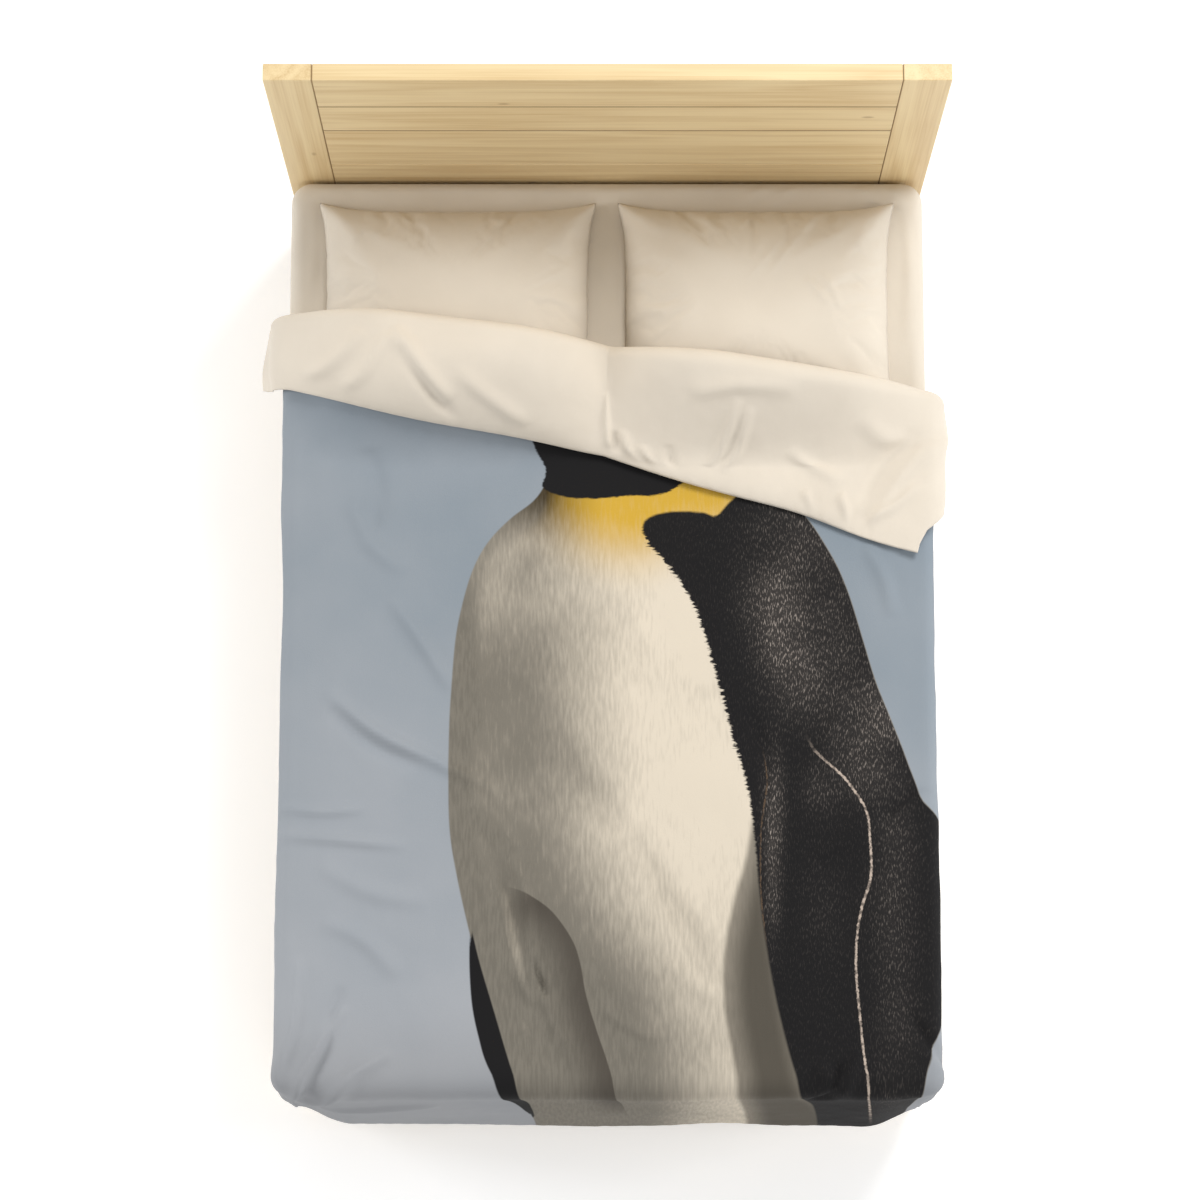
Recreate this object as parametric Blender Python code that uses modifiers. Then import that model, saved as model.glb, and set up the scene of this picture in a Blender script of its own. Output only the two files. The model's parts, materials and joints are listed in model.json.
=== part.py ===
"""A double bed made up with fitted sheet, two pillows and a printed duvet that is turned down at the head.

Metres, +Z up, +Y towards the headboard. The origin is on the floor under the middle of the bed's box.
"""

import math

import bmesh
import bpy
from mathutils import Vector

FIT = 0.0003  # clearance between pieces that touch

# Bed frame
BED_WIDTH = 1.400  # over the side rails
MATTRESS_LENGTH = 2.000
RAIL_SHORTER = 0.060  # than the mattress
RAIL_THICKNESS = 0.028
RAIL_HEIGHT = 0.140
RAIL_TOP = 0.300
LEG_SIDE = 0.060
GLIDE_HEIGHT = 0.004
GLIDE_RADIUS = 0.020
LEDGE_WIDTH = 0.022
LEDGE_HEIGHT = 0.030
LEDGE_END_GAP = 0.040
SLAT_COUNT = 13
SLAT_WIDTH = 0.070
SLAT_THICKNESS = 0.018
SLAT_END_GAP = 0.004
BEAM_WIDTH = 0.044
BEAM_HEIGHT = 0.070
BEAM_END_GAP = 0.004
HANGER_WALL = 0.0025
HANGER_LENGTH = 0.040
CENTRE_LEG_SIDE = 0.040
BOLT_RADIUS = 0.004
BOLT_HEAD_RADIUS = 0.009
BOLT_HEAD_HEIGHT = 0.005
BOLT_INTO_RAIL = 0.050
BOLT_CLEARANCE = 0.0004
WOOD_EDGE = 0.0015  # small chamfer on every sawn board

# Headboard
BOARD_OVERHANG = 0.007  # past each side rail
BOARD_TOP = 1.184
BOARD_THICKNESS = 0.036
STILE_WIDTH = 0.101
PLANK_HEIGHTS = (0.171, 0.158, 0.236, 0.216)  # from the top one down
PLANK_GAP = 0.001
TONGUE_DEPTH = 0.012
TONGUE_THICKNESS = 0.012
TONGUE_SHOULDER = 0.030
CLEAT_WIDTH = 0.045
CLEAT_THICKNESS = 0.018
CLEAT_OFFSET = 0.360
CLEAT_MARGIN = 0.070

# Mattress and fitted sheet
MATTRESS_OVERHANG = 0.0003  # past each side rail
MATTRESS_HEIGHT = 0.220
MATTRESS_HEAD_GAP = 0.006
MATTRESS_ROUNDING = 0.030
TICKING_THICKNESS = 0.0015
SHEET_THICKNESS = 0.0010
SHEET_HEM_RISE = 0.012

# Pillows
PILLOW_HALF_WIDTH = 0.306
PILLOW_HALF_DEPTH = 0.252
PILLOW_HEIGHT = 0.130
PILLOW_SEAM_HEIGHT = 0.012
PILLOW_PINCH = 0.050  # how far the sides pull in between the corners, as a share
PILLOW_SIDE_MARGIN = 0.064  # from the mattress's side
PILLOW_HEAD_GAP = 0.062
PILLOW_POWER = 2.6
PILLOW_CROWN = 0.62
CASE_THICKNESS = 0.001
CASE_MOUTH = 0.005
INSERT_SLACK = 0.016

# Duvet
DUVET_SIDE_DROP = 0.165  # wider than the bed by this on each side
DUVET_EXTRA_LENGTH = 0.240  # longer than the mattress
DUVET_THICKNESS = 0.020
PANEL_THICKNESS = 0.0010
LAYER_GAP = 0.0010
SEAM_GAP = 0.0014  # between the two covers along the seam
EDGE_TAPER = 0.070  # width over which the filling thins out to the seam
TAPER_LINE = 0.030
SIDE_STEPS = 6  # grid lines on each hanging side
PILLOW_LINES_ACROSS = (-0.901, -0.546, -0.146, 0.2975, 0.7414, 0.9855)  # from its middle, in half widths
PILLOW_LINES_ALONG = (1.85, 1.235, 0.741, 0.309)  # before the fold, in a pillow's half depths
INSERT_INSET = 0.012
FOLD_SLOPE_DEG = 7.0
FOLD_FROM_BOARD = 0.430  # from the headboard's face to the fold, on the bed's centre line
TURNED_DOWN = 0.2265  # what is folded over, on the bed's centre line
FOLD_GAP_SHARE = 0.5  # of the duvet's thickness, between its two layers where it is turned down
DUVET_LIFT = 0.0005  # between the sheet and the duvet
DUVET_SIDE_GAP = 0.0025
HANG_DEG = 84.0  # how steeply the sides hang
BUMP_EXTRA = 0.007
BUMP_INNER = 0.45
BUMP_OUTER = 1.42
TIE_SIZE = 0.005
TIE_THICKNESS = 0.0006

# Zip in the foot hem
ZIP_LENGTH = 0.900
ZIP_WIDTH = 0.010
ZIP_THICKNESS = 0.0012
SLIDER_LENGTH = 0.012
SLIDER_WALL = 0.0014
SLIDER_WIDTH = 0.007
SLIDER_CLEARANCE = 0.0005
PULL_LENGTH = 0.022
PULL_THICKNESS = 0.0012

# Sizes that follow from the bed's width and the mattress's length
RAIL_LENGTH = MATTRESS_LENGTH - RAIL_SHORTER
MATTRESS_WIDTH = BED_WIDTH + 2 * MATTRESS_OVERHANG
BOARD_WIDTH = BED_WIDTH + 2 * BOARD_OVERHANG
DUVET_WIDTH = BED_WIDTH + 2 * DUVET_SIDE_DROP
DUVET_LENGTH = MATTRESS_LENGTH + DUVET_EXTRA_LENGTH
PILLOW_OFFSET = BED_WIDTH / 2 - PILLOW_SIDE_MARGIN - PILLOW_HALF_WIDTH
PILLOW_CENTRE_X = (-PILLOW_OFFSET, PILLOW_OFFSET)

# Heights worked out from the frame up
SLAT_BOTTOM = RAIL_TOP - SLAT_THICKNESS
LEDGE_TOP = SLAT_BOTTOM - FIT
FLOOR_GAP = GLIDE_HEIGHT + FIT
MATTRESS_BOTTOM = RAIL_TOP + FIT
MATTRESS_TOP = MATTRESS_BOTTOM + MATTRESS_HEIGHT
SHEET_TOP = MATTRESS_TOP + FIT + SHEET_THICKNESS
SHEET_SIDE = MATTRESS_WIDTH / 2 + FIT + SHEET_THICKNESS
SHEET_END = MATTRESS_LENGTH + 2 * (FIT + SHEET_THICKNESS)

# Drape of the duvet over the bed
BEND_RADIUS = 0.025
HANG_ANGLE = math.radians(HANG_DEG)
FLAT_SIDE = SHEET_SIDE + DUVET_SIDE_GAP - BEND_RADIUS
SEAM_THICKNESS = 2 * PANEL_THICKNESS + SEAM_GAP
FOLD_SLOPE = math.radians(FOLD_SLOPE_DEG)
FOLD_GAP = FOLD_GAP_SHARE * DUVET_THICKNESS
FOLD_CENTRE = DUVET_THICKNESS + FOLD_GAP / 2
FOLD_MID_RADIUS = FOLD_CENTRE - DUVET_THICKNESS / 2
FOLD_RUN = math.pi * FOLD_MID_RADIUS
FOLD_AT = DUVET_LENGTH - TURNED_DOWN - FOLD_RUN  # along the duvet, on the centre line


def foot_reach():
    """How far the foot of the duvet stands out past the sheet's end."""
    flat_run = DUVET_LENGTH - TURNED_DOWN - FOLD_RUN + FOLD_FROM_BOARD
    hanging = flat_run - MATTRESS_HEAD_GAP - SHEET_END - DUVET_SIDE_GAP + BEND_RADIUS
    steps = [hanging - EDGE_TAPER * i / 40 for i in range(41)]
    outsets = [hang(run)[0] + thickness(hanging - run) * math.sin(HANG_ANGLE) for run in steps]
    return max(outsets) - BEND_RADIUS + DUVET_SIDE_GAP


def hang(run):
    """(outward, down) of cloth that has run this far past the flat top."""
    turned = min(run / BEND_RADIUS, HANG_ANGLE)
    straight = max(run - BEND_RADIUS * HANG_ANGLE, 0.0)
    out = BEND_RADIUS * math.sin(turned) + straight * math.cos(HANG_ANGLE)
    down = BEND_RADIUS * (1 - math.cos(turned)) + straight * math.sin(HANG_ANGLE)
    return out, down


def thickness(from_edge):
    """The duvet's thickness this far in from its nearest seam."""
    share = min(max(from_edge / EDGE_TAPER, 0.0), 1.0)
    return SEAM_THICKNESS + (DUVET_THICKNESS - SEAM_THICKNESS) * math.sqrt(1 - (1 - share) ** 2)


FOOT_REACH = foot_reach()
TOTAL_LENGTH = CLEAT_THICKNESS + FIT + BOARD_THICKNESS + MATTRESS_HEAD_GAP + SHEET_END + FOOT_REACH
BOARD_FRONT = TOTAL_LENGTH / 2 - CLEAT_THICKNESS - FIT - BOARD_THICKNESS
SHEET_HEAD_Y = BOARD_FRONT - MATTRESS_HEAD_GAP
SHEET_FOOT_Y = SHEET_HEAD_Y - SHEET_END
FLAT_FOOT_Y = SHEET_FOOT_Y - DUVET_SIDE_GAP + BEND_RADIUS
FOLD_Y = BOARD_FRONT - FOLD_FROM_BOARD
PILLOW_CENTRE_Y = BOARD_FRONT - PILLOW_HEAD_GAP - PILLOW_HALF_DEPTH
LEG_BACK_Y = BOARD_FRONT - FIT - RAIL_LENGTH - FIT


# ---------------------------------------------------------------- helpers

def material(name, colour, roughness, metallic=0.0):
    """A Principled material."""
    made = bpy.data.materials.new(name)
    made.use_nodes = True
    shader = made.node_tree.nodes["Principled BSDF"]
    shader.inputs["Base Color"].default_value = (*colour, 1.0)
    shader.inputs["Roughness"].default_value = roughness
    shader.inputs["Metallic"].default_value = metallic
    return made


def clear_scene():
    """Removes the objects that a new file holds."""
    for obj in list(bpy.data.objects):
        bpy.data.objects.remove(obj, do_unlink=True)


def collection(name):
    """A new collection in the scene."""
    made = bpy.data.collections.new(name)
    bpy.context.scene.collection.children.link(made)
    return made


def add_mesh(name, bm, finish, group, location=(0, 0, 0)):
    """An object from a bmesh, which is freed."""
    mesh = bpy.data.meshes.new(name)
    bm.to_mesh(mesh)
    bm.free()
    obj = bpy.data.objects.new(name, mesh)
    obj.location = location
    obj.data.materials.append(finish)
    group.objects.link(obj)
    return obj


def box(name, low, high, finish, group, edge=0.0):
    """A box between two corners, its origin at its centre, with an optional chamfer."""
    low, high = Vector(low), Vector(high)
    bm = bmesh.new()
    bmesh.ops.create_cube(bm, size=1.0)
    bmesh.ops.scale(bm, vec=high - low, verts=bm.verts)
    obj = add_mesh(name, bm, finish, group, (low + high) / 2)
    if edge:
        bevel = obj.modifiers.new("edges", "BEVEL")
        bevel.width = edge
        bevel.segments = 1
    return obj


def rod(name, start, end, radius, finish, group, sides=12):
    """A cylinder between two points."""
    start, end = Vector(start), Vector(end)
    bm = bmesh.new()
    bmesh.ops.create_cone(
        bm, cap_ends=True, segments=sides, radius1=radius, radius2=radius, depth=(end - start).length
    )
    obj = add_mesh(name, bm, finish, group, (start + end) / 2)
    obj.rotation_euler = (end - start).to_track_quat("Z", "Y").to_euler()
    return obj


def as_cutter(obj):
    """Hides a helper shape and draws it as wire."""
    obj.hide_render = True
    obj.display_type = "WIRE"
    return obj


def boolean(obj, other, operation="DIFFERENCE"):
    """Cuts obj with other, or joins them."""
    modifier = obj.modifiers.new(operation.lower(), "BOOLEAN")
    modifier.operation = operation
    modifier.object = other
    return modifier


def grid_slab(name, low, high, finish, group):
    """A closed slab between two grids of points; every slab is split along the same diagonals, so layers nest."""
    rows, columns = len(low), len(low[0])
    bm = bmesh.new()
    under = [[bm.verts.new(p) for p in row] for row in low]
    over = [[bm.verts.new(p) for p in row] for row in high]
    for i in range(rows - 1):
        for j in range(columns - 1):
            for a, b, c in (((0, 0), (1, 0), (1, 1)), ((0, 0), (1, 1), (0, 1))):
                bm.faces.new([under[i + k][j + m] for k, m in (a, b, c)])
                bm.faces.new([over[i + k][j + m] for k, m in (c, b, a)])
    rim = (
        [(0, j) for j in range(columns - 1)]
        + [(i, columns - 1) for i in range(rows - 1)]
        + [(rows - 1, j) for j in range(columns - 1, 0, -1)]
        + [(i, 0) for i in range(rows - 1, 0, -1)]
    )
    for (i, j), (k, m) in zip(rim, rim[1:] + rim[:1]):
        bm.faces.new((under[i][j], under[k][m], over[k][m], over[i][j]))
    bmesh.ops.recalc_face_normals(bm, faces=bm.faces)
    obj = add_mesh(name, bm, finish, group)
    obj.data.shade_smooth()
    return obj


# ---------------------------------------------------------------- bed frame

def build_headboard(wood, parts, cutters):
    """Two stiles, four tongued planks between them, and two cleats behind."""
    front, back = BOARD_FRONT, BOARD_FRONT + BOARD_THICKNESS
    middle = (front + back) / 2
    inner = BOARD_WIDTH / 2 - STILE_WIDTH
    plank_end = inner - FIT
    groove_top = BOARD_TOP - TONGUE_SHOULDER
    bottom = BOARD_TOP - sum(PLANK_HEIGHTS)
    groove_half = TONGUE_THICKNESS / 2 + FIT
    groove = as_cutter(
        box(
            "groove_cutter",
            (-plank_end - TONGUE_DEPTH - 2 * FIT, middle - groove_half, RAIL_TOP - RAIL_HEIGHT),
            (plank_end + TONGUE_DEPTH + 2 * FIT, middle + groove_half, groove_top + FIT),
            wood,
            cutters,
        )
    )
    for side, label in ((-1, "left"), (1, "right")):
        ends = sorted((side * inner, side * BOARD_WIDTH / 2))
        stile = box(
            f"headboard_stile_{label}",
            (ends[0], front, FLOOR_GAP),
            (ends[1], back, BOARD_TOP),
            wood,
            parts,
            WOOD_EDGE,
        )
        boolean(stile, groove)
        cleat_x = side * CLEAT_OFFSET
        box(
            f"headboard_cleat_{label}",
            (cleat_x - CLEAT_WIDTH / 2, back + FIT, bottom + CLEAT_MARGIN),
            (cleat_x + CLEAT_WIDTH / 2, back + FIT + CLEAT_THICKNESS, BOARD_TOP - CLEAT_MARGIN),
            wood,
            parts,
            WOOD_EDGE,
        )
    top = BOARD_TOP
    for index, height in enumerate(PLANK_HEIGHTS):
        low = top - height + (PLANK_GAP if index + 1 < len(PLANK_HEIGHTS) else 0.0)
        plank = box(
            f"headboard_plank_{index + 1}",
            (-plank_end, front, low),
            (plank_end, back, top),
            wood,
            parts,
            WOOD_EDGE,
        )
        tongue_top = min(top - WOOD_EDGE, groove_top)
        tongue = as_cutter(
            box(
                f"tongue_{index + 1}",
                (-plank_end - TONGUE_DEPTH, middle - TONGUE_THICKNESS / 2, low + WOOD_EDGE),
                (plank_end + TONGUE_DEPTH, middle + TONGUE_THICKNESS / 2, tongue_top),
                wood,
                cutters,
            )
        )
        boolean(plank, tongue, "UNION")
        top -= height
    rail_low, rail_high = RAIL_TOP - RAIL_HEIGHT, RAIL_TOP
    head_rail = box(
        "head_rail",
        (-plank_end, front, rail_low),
        (plank_end, back - 2 * WOOD_EDGE, rail_high),
        wood,
        parts,
        WOOD_EDGE,
    )
    tenon = as_cutter(
        box(
            "head_rail_tenon",
            (-plank_end - TONGUE_DEPTH, middle - TONGUE_THICKNESS / 2, rail_low + WOOD_EDGE),
            (plank_end + TONGUE_DEPTH, middle + TONGUE_THICKNESS / 2, rail_high - WOOD_EDGE),
            wood,
            cutters,
        )
    )
    boolean(head_rail, tenon, "UNION")


def build_rails(wood, parts, cutters, steel):
    """Side rails and foot rail between the headboard and two foot legs, held by long bolts."""
    outer = BED_WIDTH / 2
    rail_low = RAIL_TOP - RAIL_HEIGHT
    rail_head_y, rail_foot_y = BOARD_FRONT - FIT, LEG_BACK_Y + FIT
    bolt_z = rail_low + RAIL_HEIGHT / 2
    for side, label in ((-1, "left"), (1, "right")):
        faces = sorted((side * outer, side * (outer - RAIL_THICKNESS)))
        rail = box(
            f"side_rail_{label}",
            (faces[0], rail_foot_y, rail_low),
            (faces[1], rail_head_y, RAIL_TOP),
            wood,
            parts,
            WOOD_EDGE,
        )
        leg_faces = sorted((side * outer, side * (outer - LEG_SIDE)))
        leg = box(
            f"foot_leg_{label}",
            (leg_faces[0], LEG_BACK_Y - LEG_SIDE, FLOOR_GAP),
            (leg_faces[1], LEG_BACK_Y, RAIL_TOP),
            wood,
            parts,
            WOOD_EDGE,
        )
        bolt_x = sum(faces) / 2
        stile = bpy.data.objects[f"headboard_stile_{label}"]
        for end, host, head_y, tip_y, way in (
            ("head", stile, BOARD_FRONT + BOARD_THICKNESS, rail_head_y - BOLT_INTO_RAIL, 1),
            ("foot", leg, LEG_BACK_Y - LEG_SIDE, rail_foot_y + BOLT_INTO_RAIL, -1),
        ):
            hole = as_cutter(
                rod(
                    f"bolt_hole_{end}_{label}",
                    (bolt_x, head_y + way * BOLT_INTO_RAIL, bolt_z),
                    (bolt_x, tip_y - way * 2 * BOLT_CLEARANCE, bolt_z),
                    BOLT_RADIUS + BOLT_CLEARANCE,
                    steel,
                    cutters,
                )
            )
            boolean(host, hole)
            boolean(rail, hole)
            shank = rod(
                f"bed_bolt_{end}_{label}",
                (bolt_x, head_y + way * (FIT + BOLT_HEAD_HEIGHT / 2), bolt_z),
                (bolt_x, tip_y, bolt_z),
                BOLT_RADIUS,
                steel,
                parts,
            )
            head = as_cutter(
                rod(
                    f"bolt_head_{end}_{label}",
                    (bolt_x, head_y + way * FIT, bolt_z),
                    (bolt_x, head_y + way * (FIT + BOLT_HEAD_HEIGHT), bolt_z),
                    BOLT_HEAD_RADIUS,
                    steel,
                    cutters,
                    6,
                )
            )
            boolean(shank, head, "UNION")
        ledge_faces = sorted(
            side * x for x in (outer - RAIL_THICKNESS - FIT, outer - RAIL_THICKNESS - FIT - LEDGE_WIDTH)
        )
        box(
            f"slat_ledge_{label}",
            (ledge_faces[0], rail_foot_y + LEDGE_END_GAP, LEDGE_TOP - LEDGE_HEIGHT),
            (ledge_faces[1], rail_head_y - LEDGE_END_GAP, LEDGE_TOP),
            wood,
            parts,
            WOOD_EDGE,
        )
    box(
        "foot_rail",
        (-outer + LEG_SIDE + FIT, LEG_BACK_Y - RAIL_THICKNESS, rail_low),
        (outer - LEG_SIDE - FIT, LEG_BACK_Y, RAIL_TOP),
        wood,
        parts,
        WOOD_EDGE,
    )


def build_slat_base(wood, parts, cutters, steel):
    """Slats on ledges and a centre beam, the beam's hangers and its leg."""
    head_y, foot_y = BOARD_FRONT - FIT, LEG_BACK_Y + FIT
    half_slat = BED_WIDTH / 2 - RAIL_THICKNESS - SLAT_END_GAP
    pitch = (head_y - foot_y) / SLAT_COUNT
    for index in range(SLAT_COUNT):
        middle = foot_y + (index + 0.5) * pitch
        box(
            f"slat_{index + 1:02d}",
            (-half_slat, middle - SLAT_WIDTH / 2, SLAT_BOTTOM),
            (half_slat, middle + SLAT_WIDTH / 2, RAIL_TOP),
            wood,
            parts,
            WOOD_EDGE,
        )
    beam_low = LEDGE_TOP - BEAM_HEIGHT
    beam_ends = (foot_y + HANGER_WALL + BEAM_END_GAP, head_y - HANGER_WALL - BEAM_END_GAP)
    box(
        "centre_beam",
        (-BEAM_WIDTH / 2, beam_ends[0], beam_low),
        (BEAM_WIDTH / 2, beam_ends[1], LEDGE_TOP),
        wood,
        parts,
        WOOD_EDGE,
    )
    pocket_half = BEAM_WIDTH / 2 + FIT
    for label, wall_y, way in (("foot", foot_y, 1), ("head", head_y, -1)):
        spans = sorted((wall_y, wall_y + way * HANGER_LENGTH))
        hanger = box(
            f"beam_hanger_{label}",
            (-pocket_half - HANGER_WALL, spans[0], beam_low - FIT - HANGER_WALL),
            (pocket_half + HANGER_WALL, spans[1], LEDGE_TOP),
            steel,
            parts,
        )
        pocket = sorted((wall_y + way * HANGER_WALL, wall_y + way * 2 * HANGER_LENGTH))
        boolean(
            hanger,
            as_cutter(
                box(
                    f"hanger_pocket_{label}",
                    (-pocket_half, pocket[0], beam_low - FIT),
                    (pocket_half, pocket[1], RAIL_TOP),
                    steel,
                    cutters,
                )
            ),
        )
    leg_y = (head_y + foot_y) / 2
    half_leg = CENTRE_LEG_SIDE / 2
    box(
        "centre_leg",
        (-half_leg, leg_y - half_leg, FLOOR_GAP),
        (half_leg, leg_y + half_leg, beam_low - FIT),
        wood,
        parts,
        WOOD_EDGE,
    )
    return leg_y


def build_glides(felt, parts, centre_leg_y):
    """Five felt glides under the legs."""
    stile_x = (BOARD_WIDTH - STILE_WIDTH) / 2
    leg_x = (BED_WIDTH - LEG_SIDE) / 2
    stile_y = BOARD_FRONT + BOARD_THICKNESS / 2
    leg_y = LEG_BACK_Y - LEG_SIDE / 2
    places = {
        "head_left": (-stile_x, stile_y),
        "head_right": (stile_x, stile_y),
        "foot_left": (-leg_x, leg_y),
        "foot_right": (leg_x, leg_y),
        "centre": (0.0, centre_leg_y),
    }
    radius = min(GLIDE_RADIUS, BOARD_THICKNESS / 2 - WOOD_EDGE, CENTRE_LEG_SIDE / 2 - WOOD_EDGE)
    for label, (x, y) in places.items():
        rod(f"glide_{label}", (x, y, 0.0), (x, y, GLIDE_HEIGHT), radius, felt, parts, 16)


# ---------------------------------------------------------------- mattress

def rounded_shell(name, half_x, ends_y, low, high, rounding, wall, open_at, finish, group):
    """A box with rounded edges and no bottom or no top, its wall turned inwards; no wall makes it solid."""
    bm = bmesh.new()
    bmesh.ops.create_cube(bm, size=1.0)
    bmesh.ops.scale(bm, vec=(2 * half_x, ends_y[1] - ends_y[0], high - low), verts=bm.verts)
    if open_at:
        missing = [f for f in bm.faces if f.normal.z * open_at > 0.5]
        bmesh.ops.delete(bm, geom=missing, context="FACES_ONLY")
    round_edges = [
        e
        for e in bm.edges
        if not e.is_boundary and all(abs(v.co.z) > 0 for v in e.verts)
    ]
    bmesh.ops.bevel(
        bm, geom=round_edges, offset=rounding, segments=3, profile=0.5, affect="EDGES", clamp_overlap=True
    )
    middle = (0.0, sum(ends_y) / 2, (low + high) / 2)
    obj = add_mesh(name, bm, finish, group, middle)
    if wall:
        solidify = obj.modifiers.new("wall", "SOLIDIFY")
        solidify.thickness = wall
        solidify.offset = -1.0
        solidify.use_even_offset = True
    obj.data.shade_smooth()
    return obj


def build_mattress(foam, ticking, cotton, parts):
    """A foam core in a two-part zipped cover, and the fitted sheet over it."""
    half = MATTRESS_WIDTH / 2
    ends = (SHEET_FOOT_Y + FIT + SHEET_THICKNESS, SHEET_HEAD_Y - FIT - SHEET_THICKNESS)
    seam_z = (MATTRESS_BOTTOM + MATTRESS_TOP) / 2
    half_gap = FIT / 2
    rounding = MATTRESS_ROUNDING
    rounded_shell(
        "mattress_cover_top", half, ends, seam_z + half_gap, MATTRESS_TOP, rounding, TICKING_THICKNESS, -1,
        ticking, parts,
    )
    rounded_shell(
        "mattress_cover_bottom", half, ends, MATTRESS_BOTTOM, seam_z - half_gap, rounding, TICKING_THICKNESS, 1,
        ticking, parts,
    )
    inset = TICKING_THICKNESS + FIT
    rounded_shell(
        "mattress_core", half - inset, (ends[0] + inset, ends[1] - inset), MATTRESS_BOTTOM + inset,
        MATTRESS_TOP - inset, rounding - inset, 0.0, 0, foam, parts,
    )
    rounded_shell(
        "fitted_sheet", SHEET_SIDE, (SHEET_FOOT_Y, SHEET_HEAD_Y), MATTRESS_BOTTOM + SHEET_HEM_RISE, SHEET_TOP,
        rounding + FIT + SHEET_THICKNESS, SHEET_THICKNESS, -1, cotton, parts,
    )


# ---------------------------------------------------------------- pillows

def pillow_crown(share):
    """1 in the middle of the pillow, 0 at its seam."""
    return max(1 - abs(share) ** PILLOW_POWER, 0.0) ** PILLOW_CROWN


def pillow_point(centre_x, u, v, upper, slack, mouth):
    """A point of the pillow's upper or lower side; slack makes it smaller all round, mouth parts its open end."""
    half_x, half_y = PILLOW_HALF_WIDTH - slack, PILLOW_HALF_DEPTH - slack
    x = centre_x + half_x * u * (1 - PILLOW_PINCH * (1 - v * v))
    y = PILLOW_CENTRE_Y + half_y * v * (1 - PILLOW_PINCH * (1 - u * u))
    swell = pillow_crown(u) * pillow_crown(v)
    seam = SHEET_TOP + FIT + PILLOW_SEAM_HEIGHT
    lining = CASE_THICKNESS + 2 * FIT if slack else 0.0
    if upper:
        return x, y, seam + (PILLOW_HEIGHT - PILLOW_SEAM_HEIGHT - lining) * swell + mouth * u
    lowered = (PILLOW_SEAM_HEIGHT - lining) * min(1.0, 2.2 * swell)
    return x, y, seam - lowered - mouth * u


PILLOW_U = (-1, -0.93, -0.8, -0.6, -0.3, 0, 0.3, 0.6, 0.8, 0.93, 1)
PILLOW_V = (-1, -0.9, -0.7, -0.35, 0, 0.35, 0.7, 0.9, 1)


def pillow_body(name, centre_x, slack, open_end, finish, parts):
    """A pillow shape from two grids that share their seam; open_end of +1 or -1 leaves that end unsewn."""
    bm = bmesh.new()
    sides = {}
    for upper in (True, False):
        for i, u in enumerate(PILLOW_U):
            for j, v in enumerate(PILLOW_V):
                at_open_end = open_end != 0 and u == open_end and abs(v) < 1
                on_seam = (abs(u) == 1 or abs(v) == 1) and not at_open_end
                if on_seam and not upper:
                    sides[(i, j, upper)] = sides[(i, j, True)]
                    continue
                mouth = open_end * CASE_MOUTH / 2 if at_open_end else 0.0
                point = pillow_point(centre_x, u, v, upper, slack, mouth)
                sides[(i, j, upper)] = bm.verts.new(point)
    for upper in (True, False):
        for i in range(len(PILLOW_U) - 1):
            for j in range(len(PILLOW_V) - 1):
                corners = [(i, j), (i + 1, j), (i + 1, j + 1), (i, j + 1)]
                bm.faces.new([sides[(*c, upper)] for c in (corners if upper else corners[::-1])])
    obj = add_mesh(name, bm, finish, parts)
    obj.data.shade_smooth()
    return obj


def build_pillows(fill, cotton, parts):
    """Two stuffed pillows, each in a case that is open at its inner end."""
    for label, centre_x, open_end in zip(("left", "right"), PILLOW_CENTRE_X, (1, -1)):
        case = pillow_body(f"pillowcase_{label}", centre_x, 0.0, open_end, cotton, parts)
        solidify = case.modifiers.new("cloth", "SOLIDIFY")
        solidify.thickness = CASE_THICKNESS
        solidify.offset = -1.0
        pillow_body(f"pillow_insert_{label}", centre_x, INSERT_SLACK, 0, fill, parts)


# ---------------------------------------------------------------- duvet

def smooth(share):
    """A smooth step from 0 to 1."""
    share = min(max(share, 0.0), 1.0)
    return share * share * (3 - 2 * share)


def pillow_bump(x, y):
    """How far the pillows hold the duvet above the sheet."""
    height = 0.0
    for centre_x in PILLOW_CENTRE_X:
        u = (x - centre_x) / PILLOW_HALF_WIDTH
        v = (y - PILLOW_CENTRE_Y) / PILLOW_HALF_DEPTH
        radial = (u**4 + v**4) ** 0.25
        rise = smooth((BUMP_OUTER - radial) / (BUMP_OUTER - BUMP_INNER))
        height = math.hypot(height, (PILLOW_HEIGHT + BUMP_EXTRA) * rise)
    return height


def bed_surface(x, y):
    """The surface that the duvet lies on, for a point of its flat plan."""
    near_x = min(max(x, -FLAT_SIDE), FLAT_SIDE)
    near_y = max(y, FLAT_FOOT_Y)
    run = math.hypot(x - near_x, y - near_y)
    out, down = hang(run)
    share = out / run if run > 0 else 0.0
    return Vector(
        (
            near_x + (x - near_x) * share,
            near_y + (y - near_y) * share,
            SHEET_TOP + DUVET_LIFT + pillow_bump(x, y) - down,
        )
    )


def draped(x, y, height):
    """A point this far off the bed's surface, square to it."""
    step = 1e-4
    along_x = bed_surface(x + step, y) - bed_surface(x - step, y)
    along_y = bed_surface(x, y + step) - bed_surface(x, y - step)
    return bed_surface(x, y) + along_x.cross(along_y).normalized() * height


def folded(across, along, level):
    """(x, y, height off the bed) of a point of the duvet: level 0 is its back, DUVET_THICKNESS its printed face."""
    cosine, sine = math.cos(FOLD_SLOPE), math.sin(FOLD_SLOPE)
    past = along - FOLD_AT
    beyond = across * sine + past * cosine
    side = across * cosine - past * sine
    height = level
    if beyond > 0:
        turned = min(beyond / FOLD_MID_RADIUS, math.pi)
        radius = FOLD_CENTRE - level
        height = FOLD_CENTRE - radius * math.cos(turned)
        beyond = radius * math.sin(turned) - max(beyond - FOLD_RUN, 0.0)
    return side * cosine + beyond * sine, FOLD_Y - side * sine + beyond * cosine, height


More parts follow.
